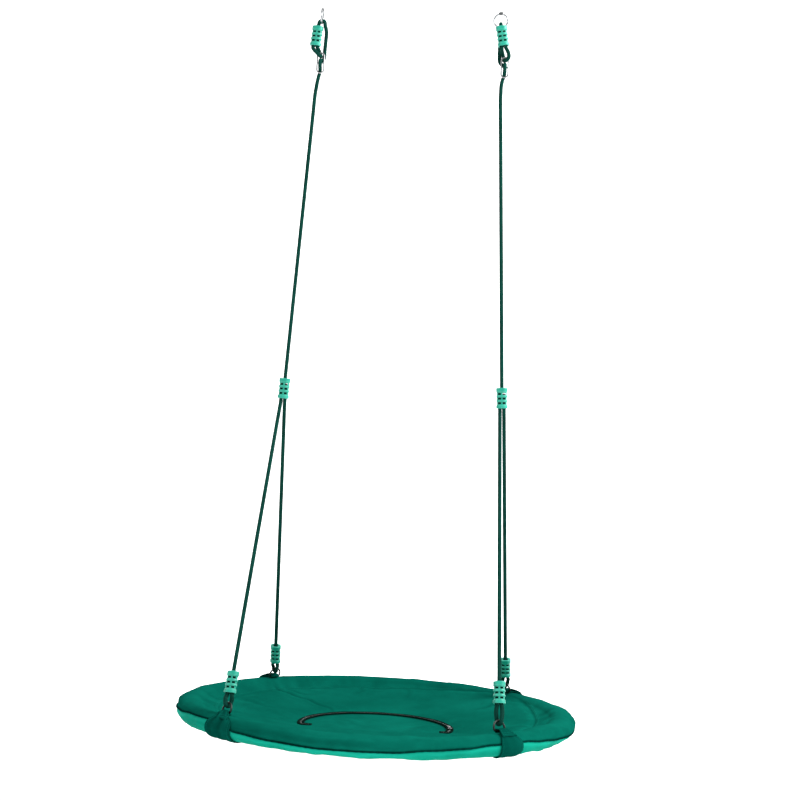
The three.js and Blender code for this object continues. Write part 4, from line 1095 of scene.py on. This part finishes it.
def stitches(name, runs, mat=None, r=0.42, length=3.6, gap=1.5, body="seat"):
    """Lines of thread: each stitch is a short arched capsule sunk at both ends. runs are rows of points with normals."""
    V_, F_ = [], []
    for pts, nr_ in runs:
        d = np.r_[0, np.cumsum(np.linalg.norm(np.diff(pts, axis=0), axis=1))]
        s = 0.0
        while s + length < d[-1]:
            q = np.linspace(s, s + length, 5)
            C = np.stack([np.interp(q, d, pts[:, i]) for i in range(3)], 1)
            Nn = np.stack([np.interp(q, d, nr_[:, i]) for i in range(3)], 1)
            Nn /= np.linalg.norm(Nn, axis=1)[:, None]
            lift = A([-0.35, 0.25, 0.42, 0.25, -0.35])[:, None]
            C = C + Nn * lift
            T = np.gradient(C, axis=0)
            T /= np.linalg.norm(T, axis=1)[:, None]
            Bn = np.cross(T, Nn)
            Nn = np.cross(Bn, T)
            b = len(V_)
            for k in range(5):
                rad = r * (0.55, 0.95, 1.0, 0.95, 0.55)[k]
                for j in range(6):
                    t = j * math.pi / 3
                    V_.append(C[k] + rad * (math.cos(t) * Bn[k] + math.sin(t) * Nn[k]))
            for k in range(4):
                for j in range(6):
                    F_.append((b + k * 6 + j, b + k * 6 + (j + 1) % 6, b + (k + 1) * 6 + (j + 1) % 6, b + (k + 1) * 6 + j))
            F_.append([b + j for j in range(6)][::-1])
            F_.append([b + 24 + j for j in range(6)])
            s += length + gap
    ob = finish_mesh(name, A(V_) * 0.001, F_, mat or THREAD)
    outward(ob)
    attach(ob, body)
    return ob


def band_run(offset):
    pts, nn = [], []
    for a in np.linspace(0, 2 * math.pi, 1400):
        r = float(band_r(A([a]))[0]) + offset
        x, y = r * math.cos(a), r * math.sin(a)
        z = cover_z(x, y)
        pts.append((x, y, z))
        slope = 0.3
        nn.append(unit((-slope * math.cos(a), -slope * math.sin(a), 1)))
    return A(pts), A(nn)


stitches("band_topstitch", [band_run(4.6), band_run(8.2)])

# ------------------------------------------------------------------ rim straps
def strap(key):
    bar, et, e2, az0 = dees[key]
    half_w = STRAP_HALF[key]
    end_w = 12.0
    mid = 1.4 + STRAP_T / 2
    tail = {"FL": 0.1, "FR": 0.42, "BL": 0.2, "BR": 0.2}
    line = []  # r, z, nr, nz, half width
    for phi in (-150, -138, -125, -112, -100, -85, -70, -52, -35, -18, 0, 16, 30, 43, 56, 69, 81, 93):
        off = mid + 1.6 * math.exp(-(phi / 42) ** 4)
        r, z = on_rim(phi * RAD, off)
        c, q = math.cos(phi * RAD) / RIM_A, math.sin(phi * RAD) / RIM_B
        n_ = math.hypot(c, q)
        k = min(max((phi - 8) / 92, 0), 1)
        w = half_w + (end_w - half_w) * (k * k * (3 - 2 * k)) if phi > 8 else half_w * (1 - tail[key] * min(1, max(0, -20 - phi) / 90))
        line.append((r, z, c / n_, q / n_, w))
    n0, n1 = on_rim(DEE_PHI * RAD, 0), on_rim(DEE_PHI * RAD, 1)
    nr_, nz_ = n1[0] - n0[0], n1[1] - n0[1]
    br, bz = on_rim(DEE_PHI * RAD, 1.2 + STRAP_T + 0.4 + DEE_WIRE)
    rad = DEE_WIRE + 0.5 + STRAP_T / 2
    for t in np.linspace(0, 180, 9):
        c, sn = -math.cos(t * RAD), math.sin(t * RAD)
        ar, az2 = -nz_, nr_
        vr, vz = c * nr_ + sn * ar, c * nz_ + sn * az2
        line.append((br + rad * vr, bz + rad * vz, -vr, -vz, end_w))
    for phi, off, w in ((92, mid + STRAP_T + 4.6, 12.5), (84, mid + STRAP_T + 3.4, 14), (76, mid + STRAP_T + 2.2, 16), (68, mid + STRAP_T + 1.5, 18), (58, mid + STRAP_T + 1.1, 20), (48, mid + STRAP_T + 0.9, 22)):
        r, z = on_rim(phi * RAD, off)
        c, q = math.cos(phi * RAD) / RIM_A, math.sin(phi * RAD) / RIM_B
        n_ = math.hypot(c, q)
        line.append((r, z, -c / n_, -q / n_, w))
    L = A(line)
    # even steps along the strap
    d = np.r_[0, np.cumsum(np.hypot(np.diff(L[:, 0]), np.diff(L[:, 1])))]
    m = int(d[-1] / 1.6)
    s = np.linspace(0, d[-1], m)
    L = np.stack([np.interp(s, d, L[:, i]) for i in range(5)], 1)
    ker = A([1, 2, 3, 2, 1]) / 9
    for i in range(5):
        L[2:-2, i] = np.convolve(L[:, i], ker, "valid")
    nw = 33
    U = np.linspace(-1, 1, nw)
    bar_i = int(np.argmin(np.hypot(L[:, 0] - br, L[:, 1] - bz)))
    P = np.zeros((m, nw, 3))
    shade = np.zeros((m, nw))
    skew = {"FL": 4.4, "FR": -0.5, "BL": 0.0, "BR": 0.0}[key] * RAD
    bunch = {"FL": 6.4, "FR": 1.6, "BL": 1.7, "BR": 1.7}[key]
    seed = {"FL": 1, "FR": 2, "BL": 3, "BR": 4}[key]
    for i in range(m):
        r, z, a, b, w = L[i]
        near = math.exp(-abs(s[i] - s[bar_i]) / (46 if key == "FL" else 34))      # gathered towards the D ring
        away = min(max((abs(s[i] - s[bar_i]) - 4) / 42, 0), 1)
        lean = skew * away * away * (3 - 2 * away)
        for jx, u in enumerate(U):
            if key == "FL" and i < bar_i:
                w = L[i, 4] + 9 * near
            th = u * w / r
            amp = bunch * near + 0.3
            f = math.sin(u * (5.2 + seed * 0.6) + seed + 0.02 * s[i]) * 0.7 + 0.6 * nz(u * 2.4, s[i] * 0.02, seed)
            if key == "FL" and i < bar_i:  # loose cloth pushed together into three rolls
                f = 0.55 + 0.75 * math.cos(u * 7.4 + 0.7 + 0.016 * s[i]) + 0.35 * nz(u * 3, s[i] * 0.03, 7)
            fade = 1.0 if i < bar_i else 0.5
            h = amp * f * fade * (1 - 0.75 * math.exp(-((s[i] - s[bar_i]) / 7) ** 2))
            h = (max(h, -0.9) if h < 0 else h) if i < bar_i else max(h * 0.6, -0.4)
            h += 0.5 * abs(u) ** 6 * 0.6
            P[i, jx] = rim_point(az0 + th + lean, r + a * h, z + b * h)
            # painted highlight on the fold tops, painted shade between the folds and near the D ring
            shade[i, jx] = np.clip(1.5 * (f - 0.55) * near, -0.9, 0.9) if key == "FL" and i < bar_i else np.clip(f * 0.5 * near, -1, 1) - 0.25 * near
    UV = np.stack(np.meshgrid(s * 0.001, U * half_w * 0.001, indexing="ij"), -1)
    ob = grid(f"rim_strap_{key}_cloth", P, STRAP, UV, attrs={"shade": shade.ravel()})
    so = ob.modifiers.new("thickness", "SOLIDIFY")
    so.thickness, so.offset = STRAP_T * 0.001 * 0.85, 0.0
    apply_mods(ob)
    outward(ob)
    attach(ob, "seat")
    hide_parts(f"rim_strap_{key}")
    # bar tack: rows of thread that hold the returned end down
    runs = []
    for frac in (0.93, 0.80):
        i = int(bar_i + (m - 1 - bar_i) * frac)
        row = P[i, 2:-2]
        nn = np.tile(unit(rim_point(az0, -L[i, 2], -L[i, 3]) - A([0, 0, RIM_Z])), (len(row), 1))
        runs.append((row + nn * 1.1, nn))
    for jx in (3, nw - 4):
        col = P[int(bar_i + (m - 1 - bar_i) * 0.55):m - 2, jx]
        nn = A([unit(rim_point(az0, -L[i, 2], -L[i, 3]) - A([0, 0, RIM_Z])) for i in range(int(bar_i + (m - 1 - bar_i) * 0.55), m - 2)])
        runs.append((col + nn * 1.1, nn))
    # hems along both long edges
    for jx in (2, nw - 3):
        col = P[6:bar_i - 14, jx]
        nn = A([unit(rim_point(az0, L[i, 2], L[i, 3]) - A([0, 0, RIM_Z])) for i in range(6, bar_i - 14)])
        runs.append((col + nn * 1.1, nn))
    return stitches(f"rim_strap_{key}_stitches", runs, THREAD, 0.36, 3.2, 1.3, "seat"), s[-1]


strap_lengths = {}
for key in CORNERS:
    _, strap_lengths[key] = strap(key)


# ------------------------------------------------------------------ curved zip
prof = A([(-8.6, 0.6), (-9.0, 2.0), (-8.5, 3.3), (-7.6, 3.8), (-6.8, 3.3), (-6.4, 2.1), (-4.2, 1.75), (-2.4, 1.8), (-1.9, 2.0), (1.9, 2.0), (2.4, 1.8), (4.2, 1.75), (6.4, 2.1), (6.8, 3.3), (7.6, 3.8), (8.5, 3.3), (9.0, 2.0), (8.6, 0.6), (3, 0.75), (0, 0.75), (-3, 0.75)])
P = np.zeros((len(zl), len(prof), 3))
for i, (x, y, nx, ny) in enumerate(zl):
    for j, (r, h) in enumerate(prof):
        w = (0.5 * math.sin(i * 0.17 + (0 if r > 0 else 2)) + 0.4 * math.sin(i * 0.071)) * max(0, (abs(r) - 6) / 3.6)
        P[i, j] = (x + nx * r, y + ny * r, RIM_Z + ZIP_Z + h + w)
d = np.r_[0, np.cumsum(np.hypot(np.diff(zl[:, 0]), np.diff(zl[:, 1])))]
w_ = np.r_[0, np.cumsum(np.linalg.norm(np.diff(np.vstack([prof, prof[:1]]), axis=0), axis=1))]
UV = np.stack(np.meshgrid(d * 0.001, w_ * 0.001, indexing="ij"), -1)
tape = outward(grid("zip_tape_cloth", P, ZIPTAPE, UV, wrap1=True, caps=True))
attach(tape, "seat")
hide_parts("zip_tape")

# coil teeth: two rows that mesh along the middle
V_, F_ = [], []
total = d[-1]
pitch = 1.55
k = 0
s_ = 6.0
while s_ < total - 6:
    x, y = np.interp(s_, d, zl[:, 0]), np.interp(s_, d, zl[:, 1])
    nx, ny = np.interp(s_, d, zl[:, 2]), np.interp(s_, d, zl[:, 3])
    nn = A([nx, ny, 0]) / math.hypot(nx, ny)
    tt = A([-nn[1], nn[0], 0])
    sg = 1 if k % 2 else -1
    b = len(V_)
    for q, (rr0, hh, ww) in enumerate(((-0.5, 2.0, 0.55), (-0.5, 2.9, 0.5), (0.7, 3.25, 0.42), (2.2, 2.9, 0.42), (2.4, 2.0, 0.5))):
        for e in (-1, 1):
            V_.append(A([x, y, RIM_Z + ZIP_Z]) + nn * (rr0 * sg) + tt * (ww * e) + A([0, 0, hh]))
    for q in range(4):
        F_.append((b + 2 * q, b + 2 * q + 1, b + 2 * q + 3, b + 2 * q + 2))
    F_.append((b, b + 2, b + 4, b + 6, b + 8))
    F_.append((b + 9, b + 7, b + 5, b + 3, b + 1))
    F_.append((b + 8, b + 9, b + 1, b))
    s_ += pitch
    k += 1
coil = outward(finish_mesh("zip_coil_teeth", A(V_) * 0.001, F_, COIL, smooth=False))
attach(coil, "seat")


def bevelled(name, verts, faces, mat, width=0.0003, seg=2):
    ob = outward(finish_mesh(name, A(verts) * 0.001, faces, mat))
    bv = ob.modifiers.new("bevel", "BEVEL")
    bv.width, bv.segments, bv.limit_method, bv.angle_limit = width, seg, "ANGLE", 30 * RAD
    apply_mods(ob)
    ob.data.polygons.foreach_set("use_smooth", [True] * len(ob.data.polygons))
    return ob


def polar(rows, name, mat, width=0.0003):
    """A closed body from sections round the seat: rows of (azimuth in radians, [(r offset, z offset), ...])."""
    m_, n_ = len(rows), len(rows[0][1])
    V2 = [rim_point(a, ZIP_R + r, ZIP_Z + z) for a, sec in rows for r, z in sec]
    F2 = [(i * n_ + j, i * n_ + (j + 1) % n_, (i + 1) * n_ + (j + 1) % n_, (i + 1) * n_ + j) for i in range(m_ - 1) for j in range(n_)]
    F2 += [tuple(range(n_))[::-1], tuple((m_ - 1) * n_ + j for j in range(n_))]
    return bevelled(name, V2, F2, mat, width)


a0 = 4 * RAD
sl_rows = []
for k_ in np.linspace(-1, 1, 9):
    f = 1 - 0.16 * max(0, k_) ** 2 - 0.05 * max(0, -k_) ** 2
    e = 5.6 * f
    top_h = 5.4 - 0.5 * k_ * k_
    sl_rows.append((a0 + k_ * 2.3 * RAD, [(-e, 2.5), (-3.6 * f, 2.5), (-3.6 * f, 3.8), (3.6 * f, 3.8), (3.6 * f, 2.5), (e, 2.5), (e, top_h - 0.6), (e - 0.9, top_h), (-e + 0.9, top_h), (-e, top_h - 0.6)]))
slider = polar(sl_rows, "zip_slider_body", ZIPMETAL, 0.00025)
# the bridge that holds the pull
br_rows = [(a0 + q * RAD, [(-1.0, h0), (1.0, h0), (1.0, h1), (-1.0, h1)]) for q, h0, h1 in
           ((-1.5, 4.6, 5.6), (-1.1, 4.7, 6.5), (-0.4, 5.9, 6.9), (0.7, 6.0, 7.0), (1.6, 5.6, 6.8), (2.0, 4.7, 6.2), (2.15, 4.6, 5.4))]
bridge = polar(br_rows, "zip_bridge", ZIPMETAL, 0.00025)
slider = join("zip_slider_body", [slider, bridge])
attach(slider, "zip_slider")
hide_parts("zip_slider")
pr = []
for q in np.linspace(0, 1, 15):
    t = (6.6 + 8.9 * q) * RAD
    w = 2.3 + 1.5 * math.sin(min(q * 1.25, 1) * math.pi / 2) - 1.2 * max(0, q - 0.86) / 0.14
    zz = 4.95 - 0.5 * q
    hh = 0.7 - 0.1 * q
    pr.append((t, [(-w, zz - hh), (w, zz - hh), (w, zz + hh), (w * 0.55, zz + hh + (0.25 if 0.3 < q < 0.8 else 0)), (-w * 0.55, zz + hh + (0.25 if 0.3 < q < 0.8 else 0)), (-w, zz + hh)]))
pull = polar(pr, "zip_pull_tab", ZIPMETAL, 0.0003)
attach(pull, "zip_pull")
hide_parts("zip_pull")

# ------------------------------------------------------------------ CAD nodes that stay
for name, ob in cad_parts.items():
    if ob.hide_render:
        continue
    mat = TUBE if name.startswith("ring_tube") else PAD if name == "seat_pad" else FOAM
    ob.data.materials.clear()
    ob.data.materials.append(mat)

# ------------------------------------------------------------------ floor, light and camera
def floor():
    m = Mat("floor_paint")
    ob_ = m.coords("Object")
    m.set(Base_Color=m.mix(m.ramp(m.noise(ob_, 1.2, 3.0), 0.3, 0.7), srgb(246, 247, 247), srgb(250, 250, 250)), Roughness=m.ramp(m.noise(ob_, 4.0), 0.3, 0.7, 0.85, 0.95))
    N_ = 60
    prof_ = [(-7.0, -2.35)] + [(y, -2.35) for y in np.linspace(-6, 6, 12)]
    prof_ += [(6 + 3 * math.sin(t), -2.35 + 3 - 3 * math.cos(t)) for t in np.linspace(0, math.pi / 2, 16)[1:]]
    prof_ += [(9, z) for z in (2.5, 5.0, 7.0)]
    V2 = [(x, y, z) for y, z in prof_ for x in (-14, 0, 14)]
    F2 = [(i * 3 + j, i * 3 + j + 1, i * 3 + j + 4, i * 3 + j + 3) for i in range(len(prof_) - 1) for j in range(2)]
    f = finish_mesh("studio_floor", V2, F2, m.m)
    # a little glow, so that the floor is as white as the backdrop and shows no edge
    for n in m.m.node_tree.nodes:
        if n.type == "BSDF_PRINCIPLED":
            n.inputs["Emission Color"].default_value = (1.0, 1.0, 1.0, 1.0)
            n.inputs["Emission Strength"].default_value = 0.18


floor()
world = bpy.data.worlds.new("studio")
bpy.context.scene.world = world
world.use_nodes = True
bg = world.node_tree.nodes["Background"]
bg.inputs[0].default_value = (1.0, 1.0, 1.0, 1.0)
bg.inputs[1].default_value = 0.6


def area(name, loc, aim, size, power, col=(1, 1, 1)):
    l_ = bpy.data.lights.new(name, "AREA")
    l_.shape, l_.size, l_.size_y, l_.energy, l_.color = "RECTANGLE", size[0], size[1], power, col
    o = bpy.data.objects.new(name, l_)
    bpy.context.scene.collection.objects.link(o)
    o.location = loc
    o.rotation_euler = (Vector(aim) - Vector(loc)).to_track_quat("-Z", "Y").to_euler()
    return o


area("key", (2.5, -0.7, 1.0), (0, 0, -1.75), (1.6, 1.6), 116)
area("fill", (-2.8, -3.0, 0.2), (0, 0, -1.4), (2.5, 2.5), 6)
area("under", (0.3, -2.6, -2.1), (0, -0.3, -1.8), (2.4, 0.8), 4)
area("backdrop", (0, 3.2, 1.2), (0, 9, -0.6), (7.0, 4.0), 560)

yaw, pitch, roll = math.radians(5.47), math.radians(2.59), math.radians(2.89)
f_ = Vector((-math.sin(yaw) * math.cos(pitch), math.cos(yaw) * math.cos(pitch), math.sin(pitch)))
r_ = Vector((math.cos(yaw), math.sin(yaw), 0))
u_ = r_.cross(f_)
r2 = r_ * math.cos(roll) + u_ * math.sin(roll)
u2 = r_ * -math.sin(roll) + u_ * math.cos(roll)
cam = bpy.data.cameras.new("camera")
cam.sensor_fit, cam.sensor_width, cam.lens = "HORIZONTAL", 36.0, 1499.0 / 800.0 * 36.0
co_ = bpy.data.objects.new("camera", cam)
bpy.context.scene.collection.objects.link(co_)
M = Matrix((r2, u2, -f_)).transposed().to_4x4()
M.translation = Vector((0.384, -3.793, -1.170))
co_.matrix_world = M
bpy.context.scene.camera = co_
bpy.context.scene.view_settings.view_transform = "Standard"
